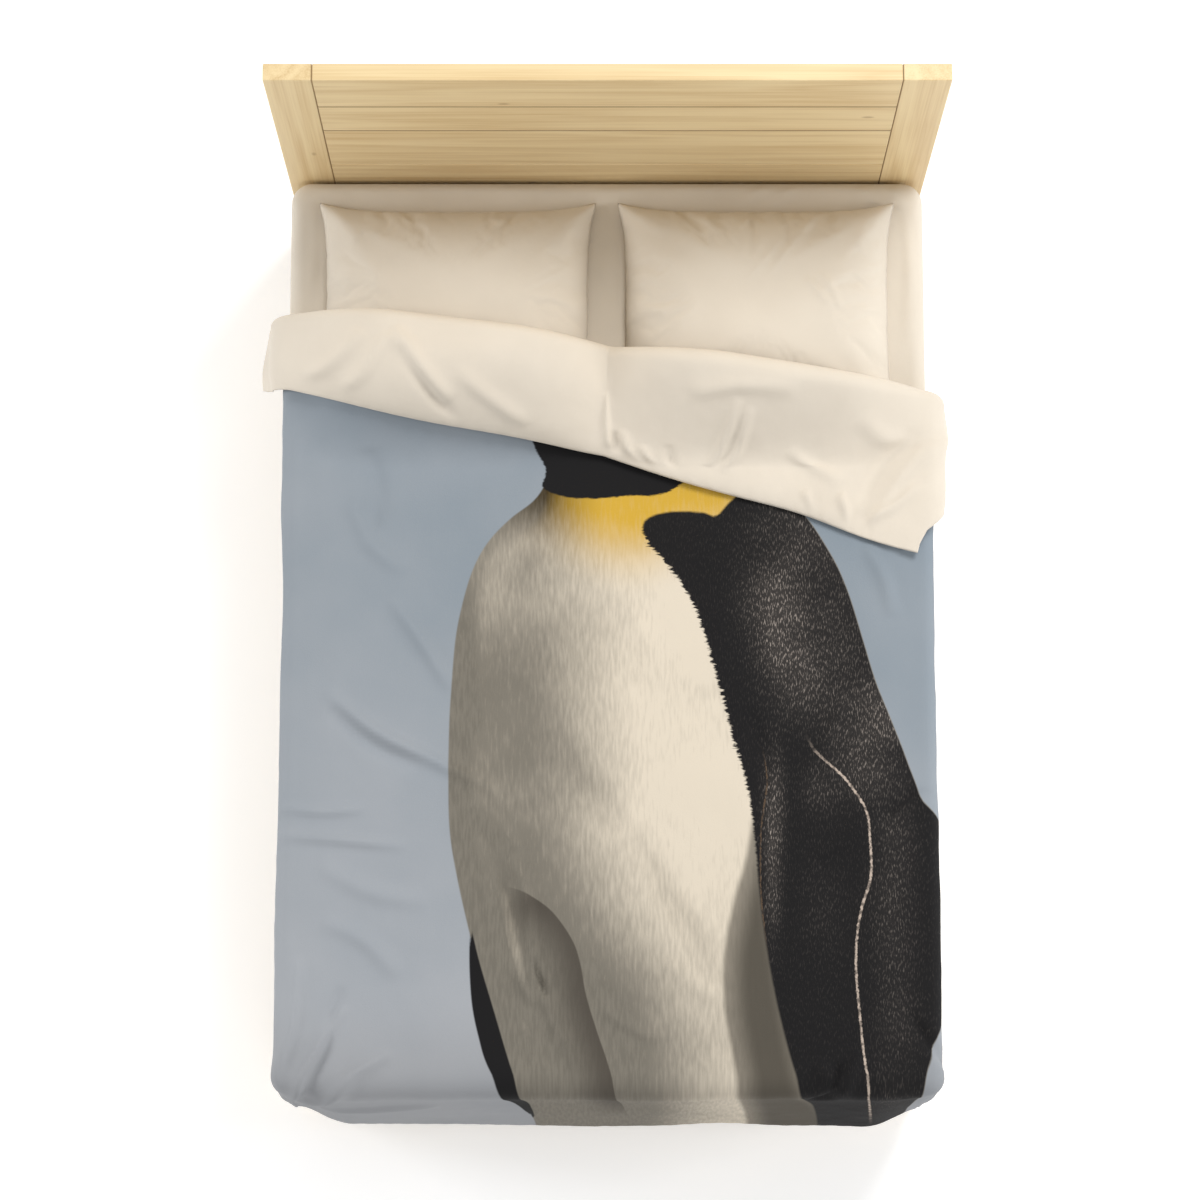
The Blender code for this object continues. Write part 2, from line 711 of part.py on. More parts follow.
def duvet_point(across, along, low_share, offset):
    """A point between the duvet's back (share 0) and its printed face (share 1), plus an offset in metres."""
    from_edge = min(DUVET_WIDTH / 2 - abs(across), along, DUVET_LENGTH - along)
    thick = thickness(from_edge)
    beyond = (across * math.sin(FOLD_SLOPE) + (along - FOLD_AT) * math.cos(FOLD_SLOPE)) / FOLD_RUN
    base = smooth(beyond) * (DUVET_THICKNESS - thick)
    return draped(*folded(across, along, base + low_share * thick + offset))


def across_lines(sewn):
    """Where the duvet's grid lines run lengthways; only the sewn covers reach the seam."""
    edge = DUVET_WIDTH / 2
    bend_end = FLAT_SIDE + BEND_RADIUS * HANG_ANGLE
    over_pillow = [PILLOW_OFFSET + PILLOW_HALF_WIDTH * share for share in PILLOW_LINES_ACROSS]
    half = [0.0, over_pillow[0] / 2] + over_pillow + [FLAT_SIDE]
    taper_line = edge - TAPER_LINE
    half += [(FLAT_SIDE + bend_end) / 2, bend_end]
    half += [bend_end + (taper_line - bend_end) * step / SIDE_STEPS for step in range(1, SIDE_STEPS + 1)]
    half.append(edge - INSERT_INSET)
    if sewn:
        half.append(edge)
    return [-x for x in half[:0:-1]] + half


def along_lines(across, sewn):
    """Where the grid lines cross one lengthways line, from the foot hem over the fold to the head hem."""
    plan_foot = FLAT_FOOT_Y - FOLD_Y + FOLD_AT
    bend = BEND_RADIUS * HANG_ANGLE
    foot = [INSERT_INSET, TAPER_LINE, EDGE_TAPER, (EDGE_TAPER + plan_foot - bend) / 2]
    foot += [plan_foot - bend, plan_foot - bend / 2, plan_foot]
    fold_start = FOLD_AT - across * math.tan(FOLD_SLOPE)
    fold_end = fold_start + FOLD_RUN / math.cos(FOLD_SLOPE)
    taper_start = DUVET_LENGTH - EDGE_TAPER
    before_fold = [fold_start - PILLOW_HALF_DEPTH * share for share in PILLOW_LINES_ALONG]
    main = [(plan_foot + before_fold[0]) / 2] + before_fold
    fold = [fold_start + (fold_end - fold_start) * step / 6 for step in range(7)]
    flap = [fold_end + (taper_start - fold_end) * step / 3 for step in (1, 2, 3)]
    flap += [DUVET_LENGTH - TAPER_LINE, DUVET_LENGTH - INSERT_INSET]
    lines = foot + main + fold + flap
    return [0.0] + lines + [DUVET_LENGTH] if sewn else lines


def duvet_layer(name, low, high, sewn, finish, parts):
    """One layer of the duvet, between two (share, offset) levels."""
    lines = across_lines(sewn)
    grids = []
    for share, offset in (low, high):
        columns = [[duvet_point(x, t, share, offset) for t in along_lines(x, sewn)] for x in lines]
        grids.append(columns)
    return grid_slab(name, grids[0], grids[1], finish, parts)


def build_duvet(fill, printed, plain, tape, parts):
    """Back panel, filling, printed panel and the ties that hold the filling in the corners."""
    skin = PANEL_THICKNESS
    duvet_layer("duvet_cover_back", (0, 0.0), (0, skin), True, plain, parts)
    duvet_layer("duvet_insert", (0, skin + LAYER_GAP), (1, -skin - LAYER_GAP), False, fill, parts)
    duvet_layer("duvet_cover_front", (1, -skin), (1, 0.0), True, printed, parts)
    corners = {
        "foot_left": (-1, False),
        "foot_right": (1, False),
        "head_left": (-1, True),
        "head_right": (1, True),
    }
    near, far = INSERT_INSET - TIE_SIZE - FIT, INSERT_INSET - FIT
    for label, (side, at_head) in corners.items():
        ends = [DUVET_LENGTH - near, DUVET_LENGTH - far] if at_head else [near, far]
        edges = [side * (DUVET_WIDTH / 2 - near), side * (DUVET_WIDTH / 2 - far)]
        lower = skin + LAYER_GAP
        levels = (lower, lower + TIE_THICKNESS) if not at_head else (-lower - TIE_THICKNESS, -lower)
        low, high = ([[duvet_point(x, t, int(at_head), level) for t in ends] for x in edges] for level in levels)
        grid_slab(f"corner_tie_{label}", low, high, tape, parts)


def build_zip(tape, steel, parts, cutters):
    """The zip's tape below the foot hem, and its slider with a pull."""
    hem_mid = SEAM_THICKNESS / 2
    ends = (-ZIP_WIDTH - FIT, -FIT)
    rows = []
    for shift in (-ZIP_THICKNESS / 2, ZIP_THICKNESS / 2):
        level = hem_mid + shift
        rows.append([[draped(*folded(x, t, level)) for t in ends] for x in (-ZIP_LENGTH / 2, ZIP_LENGTH / 2)])
    grid_slab("zip_tape", rows[0], rows[1], tape, parts)

    start_x = -ZIP_LENGTH / 2 + SLIDER_LENGTH
    hold = bpy.data.objects.new("slider_place", None)
    parts.objects.link(hold)
    hold.location = draped(*folded(start_x, -ZIP_WIDTH - FIT, hem_mid))
    hold.rotation_euler = (HANG_ANGLE - math.pi / 2, 0.0, 0.0)
    half = SLIDER_LENGTH / 2
    deep = ZIP_THICKNESS / 2 + SLIDER_CLEARANCE + SLIDER_WALL
    body = box(
        "zip_slider",
        (-half, -deep, -SLIDER_WALL - SLIDER_CLEARANCE),
        (half, deep, SLIDER_WIDTH),
        steel,
        parts,
    )
    slot = box(
        "slider_slot",
        (-SLIDER_LENGTH, -ZIP_THICKNESS / 2 - SLIDER_CLEARANCE, -SLIDER_CLEARANCE),
        (SLIDER_LENGTH, ZIP_THICKNESS / 2 + SLIDER_CLEARANCE, 2 * SLIDER_WIDTH),
        steel,
        cutters,
    )
    pull = box(
        "slider_pull",
        (-half / 2, -deep - PULL_THICKNESS / 2, -PULL_LENGTH),
        (half / 2, -deep + PULL_THICKNESS / 2, SLIDER_WIDTH / 2),
        steel,
        cutters,
    )
    for piece in (body, slot, pull):
        piece.parent = hold
    boolean(body, as_cutter(pull), "UNION")
    boolean(body, as_cutter(slot))


def main():
    """Builds the whole bed."""
    clear_scene()
    parts = collection("made_up_bed")
    cutters = collection("cutters")
    pale_wood = material("pale_wood", (0.78, 0.62, 0.38), 0.5)
    frame_wood = material("frame_wood", (0.72, 0.56, 0.36), 0.6)
    steel = material("zinc_steel", (0.60, 0.61, 0.63), 0.35, 1.0)
    felt = material("grey_felt", (0.25, 0.24, 0.23), 0.95)
    foam = material("mattress_foam", (0.90, 0.88, 0.80), 0.9)
    ticking = material("mattress_ticking", (0.86, 0.86, 0.85), 0.9)
    cotton = material("cream_cotton", (0.90, 0.83, 0.72), 0.85)
    fill = material("fibre_fill", (0.95, 0.95, 0.94), 0.95)
    printed = material("printed_microfibre", (0.58, 0.62, 0.66), 0.8)
    plain = material("cream_microfibre", (0.90, 0.84, 0.74), 0.8)
    tape = material("cream_tape", (0.88, 0.82, 0.72), 0.85)
    build_headboard(pale_wood, parts, cutters)
    build_rails(frame_wood, parts, cutters, steel)
    centre_leg_y = build_slat_base(frame_wood, parts, cutters, steel)
    build_glides(felt, parts, centre_leg_y)
    build_mattress(foam, ticking, cotton, parts)
    build_pillows(fill, cotton, parts)
    build_duvet(fill, printed, plain, tape, parts)
    build_zip(tape, steel, parts, cutters)


main()
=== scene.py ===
"""The made-up double bed: pale plank headboard, fitted sheet, two pillows and a duvet printed with a penguin.

The frame's own nodes keep their place and get wood, steel and felt finishes. The mattress, the fitted sheet,
the pillows and the duvet are soft pieces of their own, worked out on grids of points.
"""

from __future__ import annotations

import json
import logging
import math
from collections.abc import Sequence
from dataclasses import dataclass, field
from enum import Enum

import bpy
import numpy as np
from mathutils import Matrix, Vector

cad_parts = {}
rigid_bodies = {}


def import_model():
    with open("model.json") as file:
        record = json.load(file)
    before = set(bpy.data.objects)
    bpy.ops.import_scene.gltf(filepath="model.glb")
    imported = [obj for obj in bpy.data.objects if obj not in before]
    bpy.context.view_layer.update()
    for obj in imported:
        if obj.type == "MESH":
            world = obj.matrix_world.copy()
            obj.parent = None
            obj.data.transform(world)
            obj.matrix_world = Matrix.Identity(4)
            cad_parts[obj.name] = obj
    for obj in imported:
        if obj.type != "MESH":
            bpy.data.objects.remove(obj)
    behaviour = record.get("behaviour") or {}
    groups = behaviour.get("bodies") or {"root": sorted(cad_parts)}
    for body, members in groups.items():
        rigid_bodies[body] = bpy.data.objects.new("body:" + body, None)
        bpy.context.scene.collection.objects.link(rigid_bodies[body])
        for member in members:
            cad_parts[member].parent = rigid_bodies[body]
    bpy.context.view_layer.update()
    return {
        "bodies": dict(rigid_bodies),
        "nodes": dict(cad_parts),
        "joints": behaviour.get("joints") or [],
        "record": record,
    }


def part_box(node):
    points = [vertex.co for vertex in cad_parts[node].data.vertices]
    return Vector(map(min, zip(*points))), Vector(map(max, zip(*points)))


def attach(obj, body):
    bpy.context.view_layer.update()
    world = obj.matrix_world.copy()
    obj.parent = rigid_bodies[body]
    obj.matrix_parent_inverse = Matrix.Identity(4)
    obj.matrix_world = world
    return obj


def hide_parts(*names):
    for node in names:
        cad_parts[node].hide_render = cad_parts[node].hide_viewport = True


LOG = logging.getLogger("made_up_bed")
Colour = tuple[float, float, float]
Socket = bpy.types.NodeSocket
Outline = Sequence[tuple[float, float]]

LATTICE = 64
LATTICE_START = (17.3, 29.7)
PILLOW_HALF = (0.306, 0.252)
PILLOW_X = 0.330
PILLOW_Y = 0.69092
OPEN_END = 1.0


# ---------------------------------------------------------------- shapes on grids


def smooth_step(share: np.ndarray) -> np.ndarray:
    """0 below 0, 1 above 1 and 3x^2 - 2x^3 between."""
    share = np.clip(share, 0.0, 1.0)
    return share * share * (3 - 2 * share)


def lattice_noise(x: np.ndarray, y: np.ndarray, size: float, seed: int) -> np.ndarray:
    """Smooth hills and hollows between -1 and 1.

    A lattice of seeded random heights, spaced size apart, is blended with smooth steps along x and y.

    Args:
        x: first coordinate of each point, in metres.
        y: second coordinate of each point.
        size: distance between lattice points.
        seed: which lattice.

    Returns:
        The height at each point.
    """
    heights = np.random.default_rng(seed).uniform(-1, 1, (LATTICE, LATTICE))
    u, v = x / size + LATTICE_START[0], y / size + LATTICE_START[1]
    i, j = np.floor(u).astype(int), np.floor(v).astype(int)
    a, b = smooth_step(u - i), smooth_step(v - j)
    i0, i1, j0, j1 = (n % LATTICE for n in (i, i + 1, j, j + 1))
    low = heights[i0, j0] * (1 - a) + heights[i1, j0] * a
    high = heights[i0, j1] * (1 - a) + heights[i1, j1] * a
    return low * (1 - b) + high * b


def smooth_curve(points: Outline, closed: bool, per_span: int = 6) -> np.ndarray:
    """A Catmull-Rom curve through a few points: each span is the cubic that takes its slopes from both sides.

    Args:
        points: the points the curve runs through.
        closed: whether it returns to its start.
        per_span: how many points each span gets.

    Returns:
        The curve's points, one row each.
    """
    p = np.array(points, float)
    if closed:
        before, here, after, beyond = np.roll(p, 1, 0), p, np.roll(p, -1, 0), np.roll(p, -2, 0)
    else:
        p = np.vstack([2 * p[0] - p[1], p, 2 * p[-1] - p[-2]])
        before, here, after, beyond = p[:-3], p[1:-2], p[2:-1], p[3:]
    t = (np.arange(per_span) / per_span)[None, :, None]
    before, here, after, beyond = (q[:, None, :] for q in (before, here, after, beyond))
    curve = 0.5 * (
        2 * here
        + (after - before) * t
        + (2 * before - 5 * here + 4 * after - beyond) * t**2
        + (3 * here - before - 3 * after + beyond) * t**3
    )
    curve = curve.reshape(-1, 2)
    return curve if closed else np.vstack([curve, p[-2]])


def distance_to_line(
    x: np.ndarray, y: np.ndarray, line: np.ndarray
) -> tuple[np.ndarray, np.ndarray, np.ndarray]:
    """How far each point is from a line of many short pieces.

    For each piece the nearest point is found by projecting and clamping, and the shortest one is kept.

    Args:
        x: first coordinate of each point.
        y: second coordinate.
        line: the line's points, one row each.

    Returns:
        The distance, the share of the line's length at the nearest place, and the side as +1 (left) or -1.
    """
    best = np.full(x.shape, 1e9)
    along = np.zeros(x.shape)
    side = np.ones(x.shape)
    starts, steps = line[:-1], np.diff(line, axis=0)
    lengths = np.hypot(steps[:, 0], steps[:, 1])
    travelled = np.concatenate([[0.0], np.cumsum(lengths)])
    for (sx, sy), (dx, dy), length, gone in zip(starts, steps, lengths, travelled):
        if length < 1e-9:
            continue
        share = np.clip(((x - sx) * dx + (y - sy) * dy) / length**2, 0, 1)
        ox, oy = x - sx - share * dx, y - sy - share * dy
        gap = np.hypot(ox, oy)
        nearer = gap < best
        best = np.where(nearer, gap, best)
        along = np.where(nearer, (gone + share * length) / travelled[-1], along)
        side = np.where(nearer, np.where(dx * (y - sy) - dy * (x - sx) >= 0, 1.0, -1.0), side)
    return best, along, side


def inside_depth(x: np.ndarray, y: np.ndarray, outline: np.ndarray) -> np.ndarray:
    """The distance to a closed outline, positive inside and negative outside.

    A point is inside if a ray from it towards +x crosses the outline an odd number of times.

    Args:
        x: first coordinate of each point.
        y: second coordinate.
        outline: the outline's points, one row each.

    Returns:
        The signed distance of each point.
    """
    ring = np.vstack([outline, outline[:1]])
    gap, _, _ = distance_to_line(x, y, ring)
    crossings = np.zeros(x.shape, int)
    for (ax, ay), (bx, by) in zip(ring[:-1], ring[1:]):
        if ay == by:
            continue
        spans = (ay > y) != (by > y)
        crossings += spans & (x < (bx - ax) * (y - ay) / (by - ay) + ax)
    return np.where(crossings % 2 == 1, gap, -gap)


def grid_quads(rows: int, columns: int, ring: bool = False) -> np.ndarray:
    """Corner numbers of the faces of a grid; a ring joins its last column to its first.

    Args:
        rows: how many rows of points.
        columns: how many points in a row.
        ring: whether the last column joins the first.

    Returns:
        Four corner numbers for each face.
    """
    numbers = np.arange(rows * columns).reshape(rows, columns)
    if ring:
        numbers = np.hstack([numbers, numbers[:, :1]])
    corners = [numbers[:-1, :-1], numbers[:-1, 1:], numbers[1:, 1:], numbers[1:, :-1]]
    return np.stack(corners, -1).reshape(-1, 4)


def sewn(rim: np.ndarray) -> tuple[np.ndarray, np.ndarray]:
    """How two grids of points, one above the other, share the points of their seam.

    Args:
        rim: whether each grid point is on the seam.

    Returns:
        The faces of the closed body, the first grid's before the second's, and which of the points of both
        grids are kept.
    """
    faces = grid_quads(*rim.shape)
    first = np.arange(rim.size)
    second = np.where(rim.ravel(), first, first + rim.size)
    used = np.concatenate([np.ones(rim.size, bool), ~rim.ravel()])
    renumber = np.cumsum(used) - 1
    return renumber[np.vstack([faces, second[faces[:, ::-1]]])], used


def make_mesh(
    name: str,
    points: np.ndarray,
    faces: np.ndarray,
    fields: dict[str, np.ndarray] | None = None,
    zones: np.ndarray | None = None,
    triangles: np.ndarray | None = None,
) -> bpy.types.Object:
    """A smooth-shaded object from arrays.

    Args:
        name: the object's name.
        points: one row of x, y, z for each point.
        faces: four corner numbers for each face.
        fields: named values for each point, one number or three.
        zones: which material slot each face uses.
        triangles: three corner numbers for each extra face, such as those round a pole.

    Returns:
        The object, linked to the scene.
    """
    mesh = bpy.data.meshes.new(name)
    extra = [] if triangles is None else triangles.tolist()
    mesh.from_pydata(points.tolist(), [], faces.tolist() + extra)
    for field_name, values in (fields or {}).items():
        kind, key = ("FLOAT", "value") if values.ndim == 1 else ("FLOAT_VECTOR", "vector")
        layer = mesh.attributes.new(field_name, kind, "POINT")
        layer.data.foreach_set(key, np.ascontiguousarray(values, np.float32).ravel())
    if zones is not None:
        mesh.polygons.foreach_set("material_index", zones.astype(np.int32))
    mesh.validate()
    mesh.update()
    mesh.shade_smooth()
    obj = bpy.data.objects.new(name, mesh)
    bpy.context.scene.collection.objects.link(obj)
    return obj


# ---------------------------------------------------------------- finishes


class Graph:
    """The node graph of one material, with short calls for the nodes that the finishes share."""

    def __init__(self, name: str, roughness: float, metallic: float = 0.0, sheen: float = 0.0) -> None:
        """Starts a material with a Principled shader.

        Args:
            name: the material's name.
            roughness: the shader's roughness.
            metallic: 1 for bare metal.
            sheen: how much soft light the fibres catch at a glancing angle.
        """
        self.material = bpy.data.materials.new(name)
        self.material.use_nodes = True
        self.tree = self.material.node_tree
        self.shader = self.tree.nodes["Principled BSDF"]
        self.shader.inputs["Roughness"].default_value = roughness
        self.shader.inputs["Metallic"].default_value = metallic
        self.shader.inputs["Sheen Weight"].default_value = sheen
        if not metallic:
            self.shader.inputs["Specular IOR Level"].default_value = 0.3

    def add(self, kind: str, inputs: dict, **settings: object) -> bpy.types.Node:
        """Adds a node.

        Args:
            kind: the node's type.
            inputs: its inputs by name or number, each a value or another node's output.
            **settings: its properties.

        Returns:
            The node.
        """
        node = self.tree.nodes.new(kind)
        for key, value in settings.items():
            setattr(node, key, value)
        for key, value in inputs.items():
            if isinstance(value, Socket):
                self.tree.links.new(value, node.inputs[key])
            else:
                node.inputs[key].default_value = value
        return node

    def place(self, scale: tuple[float, float, float], offset: float = 0.0) -> Socket:
        """The object's own coordinates, stretched by scale and shifted by offset.

        Args:
            scale: the stretch along each axis.
            offset: how far the pattern is shifted, so that no two boards are alike.

        Returns:
            The coordinates.
        """
        source = self.add("ShaderNodeTexCoord", {}).outputs["Object"]
        inputs = {"Vector": source, "Scale": scale, "Location": (offset, offset * 0.7, offset * 1.3)}
        return self.add("ShaderNodeMapping", inputs).outputs[0]

    def carried(self, name: str, output: str = "Fac") -> Socket:
        """The value that the mesh carries under this name."""
        return self.add("ShaderNodeAttribute", {}, attribute_name=name).outputs[output]

    def noise(self, place: Socket, scale: float, detail: float = 3.0) -> Socket:
        """Fractal noise between 0 and 1."""
        return self.add("ShaderNodeTexNoise", {"Vector": place, "Scale": scale, "Detail": detail}).outputs[0]

    def strokes(self, place: Socket, scale: tuple[float, float, float], turn: float, detail: float) -> Socket:
        """Fractal noise drawn out into strokes: stretched by scale and turned by an angle in radians."""
        inputs = {"Vector": place, "Scale": scale, "Rotation": (0, 0, turn)}
        return self.noise(self.add("ShaderNodeMapping", inputs).outputs[0], 1.0, detail)

    def sum_of(self, kind: str, a: object, b: object = 0.0, clamp: bool = False) -> Socket:
        """One step of arithmetic, such as FRACT or MINIMUM."""
        return self.add("ShaderNodeMath", {0: a, 1: b}, operation=kind, use_clamp=clamp).outputs[0]

    def plus(self, a: object, b: object, clamp: bool = False) -> Socket:
        """a + b, kept between 0 and 1 when clamp is set."""
        return self.sum_of("ADD", a, b, clamp)

    def less(self, a: object, b: object) -> Socket:
        """a - b."""
        return self.sum_of("SUBTRACT", a, b)

    def times(self, a: object, b: object, clamp: bool = False) -> Socket:
        """a * b, kept between 0 and 1 when clamp is set."""
        return self.sum_of("MULTIPLY", a, b, clamp)

    def centred(self, value: Socket, width: float) -> Socket:
        """A value between 0 and 1 moved to lie about 0, as wide as asked."""
        return self.times(self.less(value, 0.5), width)

    def between(self, value: Socket, low: float, high: float) -> Socket:
        """A smooth step from 0 at low to 1 at high."""
        inputs = {"Value": value, "From Min": low, "From Max": high}
        return self.add("ShaderNodeMapRange", inputs, interpolation_type="SMOOTHSTEP").outputs[0]

    def fading(self, value: Socket, low: float, high: float) -> Socket:
        """A smooth step from 1 at low to 0 at high."""
        return self.less(1.0, self.between(value, low, high))

    def mix(self, share: object, a: object, b: object) -> Socket:
        """The colour a where share is 0 and b where it is 1."""
        a, b = ((*c, 1.0) if isinstance(c, tuple) and len(c) == 3 else c for c in (a, b))
        return self.add("ShaderNodeMix", {0: share, 6: a, 7: b}, data_type="RGBA").outputs[2]

    def colour(self, value: Socket) -> None:
        """Gives the shader its colour."""
        self.tree.links.new(value, self.shader.inputs["Base Color"])

    def relief(self, height: Socket, distance: float, strength: float = 1.0) -> None:
        """Gives the shader fine relief from a height between 0 and 1."""
        bump = self.add("ShaderNodeBump", {"Height": height, "Distance": distance, "Strength": strength})
        self.tree.links.new(bump.outputs[0], self.shader.inputs["Normal"])


class Grain(Enum):
    """Which way a board's grain runs, as the stretch of its pattern along X, Y and Z."""

    ACROSS_BED = (0.9, 14.0, 14.0)
    ALONG_BED = (14.0, 0.9, 14.0)
    UPRIGHT = (14.0, 14.0, 0.9)


@dataclass(frozen=True)
class WoodFinish:
    """Clear-oiled pale wood with long flames, fine fibres, a few pin knots and a dark line at its joints,
    partly dirt in the joint and partly painted shade of its V-groove.

    joints gives an axis and the two places on it between which the board lies; a place moved out by OPEN_END
    has no line.
    """

    name: str
    grain: Grain
    offset: float = 0.0
    joints: tuple[str, float, float] | None = None
    pale: Colour = (0.80, 0.63, 0.36)
    dark: Colour = (0.60, 0.41, 0.19)
    roughness: float = 0.42
    knot_brown: Colour = (0.33, 0.19, 0.09)
    joint_dirt_and_groove_shade: Colour = (0.21, 0.12, 0.05)

    def build(self) -> bpy.types.Material:
        """Makes the material.

        Returns:
            The material.
        """
        g = Graph(self.name, self.roughness)
        stretched = g.place(self.grain.value, self.offset)
        flames = g.noise(stretched, 0.55, 4.0)
        rings = g.sum_of("FRACT", g.times(flames, 7.0))
        rings = g.sum_of("ABSOLUTE", g.less(rings, 0.5))
        fibres = g.noise(g.place(tuple(v * 22 if v > 1 else v * 3 for v in self.grain.value)), 1.0, 2.0)
        clouds = g.noise(g.place((1, 1, 1), self.offset), 2.2, 2.0)
        tone = g.plus(g.times(rings, 0.55), g.times(fibres, 0.55))
        tone = g.plus(tone, g.times(clouds, 0.35))
        base = g.mix(g.between(tone, 0.35, 1.05), self.pale, self.dark)
        squeezed = tuple(v / 3 if v > 1 else v * 2.4 for v in self.grain.value)
        spots = g.add("ShaderNodeTexVoronoi", {"Vector": g.place(squeezed, self.offset), "Scale": 1.25})
        knot = g.fading(spots.outputs["Distance"], 0.018, 0.05)
        base = g.mix(g.times(knot, 0.55), base, self.knot_brown)
        if self.joints:
            # painted shade: a dark line a few millimetres wide at each joint stands for the shade in the
            # V-groove, together with some dirt
            axis, low, high = self.joints
            parts = g.add("ShaderNodeSeparateXYZ", {0: g.place((1, 1, 1))})
            here = parts.outputs[axis]
            inward = g.sum_of("MINIMUM", g.less(here, low), g.less(high, here))
            line = g.fading(inward, 0.0008, 0.0036)
            base = g.mix(g.times(line, 0.8), base, self.joint_dirt_and_groove_shade)
        g.colour(base)
        g.relief(fibres, 0.0004, 0.5)
        return g.material


@dataclass(frozen=True)
class ClothFinish:
    """Plain woven cloth: a fine weave in relief, slubs and a faint unevenness of tone."""

    name: str
    tint: Colour
    shade: Colour
    roughness: float = 0.85
    sheen: float = 0.15
    crumple: float = 0.0

    def build(self) -> bpy.types.Material:
        """Makes the material.

        Returns:
            The material.
        """
        g = Graph(self.name, self.roughness, sheen=self.sheen)
        even = g.place((1, 1, 1))
        tone = g.times(g.noise(even, 9.0, 4.0), 0.55)
        warp = g.noise(g.place((220, 2600, 2600)), 1.0, 1.0)
        weft = g.noise(g.place((2600, 220, 2600)), 1.0, 1.0)
        threads = g.times(g.plus(warp, weft), 0.5)
        tone = g.plus(tone, g.times(threads, 0.45))
        g.colour(g.mix(g.between(tone, 0.25, 0.85), self.tint, self.shade))
        creases = g.times(g.noise(even, 34.0, 5.0), self.crumple)
        g.relief(g.plus(creases, g.times(threads, 0.12)), 0.0030, 0.6)
        return g.material


@dataclass(frozen=True)
class MetalFinish:
    """Plated steel with fine brushing and dull spots."""

    name: str
    tint: Colour = (0.60, 0.61, 0.63)

    def build(self) -> bpy.types.Material:
        """Makes the material.

        Returns:
            The material.
        """
        g = Graph(self.name, 0.34, metallic=1.0)
        spots = g.noise(g.place((90, 90, 90)), 1.0, 4.0)
        g.colour(g.mix(g.between(spots, 0.3, 0.8), self.tint, tuple(c * 0.72 for c in self.tint)))
        g.relief(g.noise(g.place((1400, 90, 1400)), 1.0, 2.0), 0.0002, 0.4)
        return g.material


@dataclass(frozen=True)
class FeltFinish:
    """Pressed felt: matted fibres in a few close greys."""

    name: str
    tint: Colour = (0.10, 0.095, 0.09)

    def build(self) -> bpy.types.Material:
        """Makes the material.

        Returns:
            The material.
        """
        g = Graph(self.name, 0.97, sheen=0.4)
        fibres = g.noise(g.place((420, 420, 420)), 1.0, 6.0)
        g.colour(g.mix(g.between(fibres, 0.3, 0.7), self.tint, tuple(c * 2.1 for c in self.tint)))
        g.relief(fibres, 0.0008, 0.9)
        return g.material


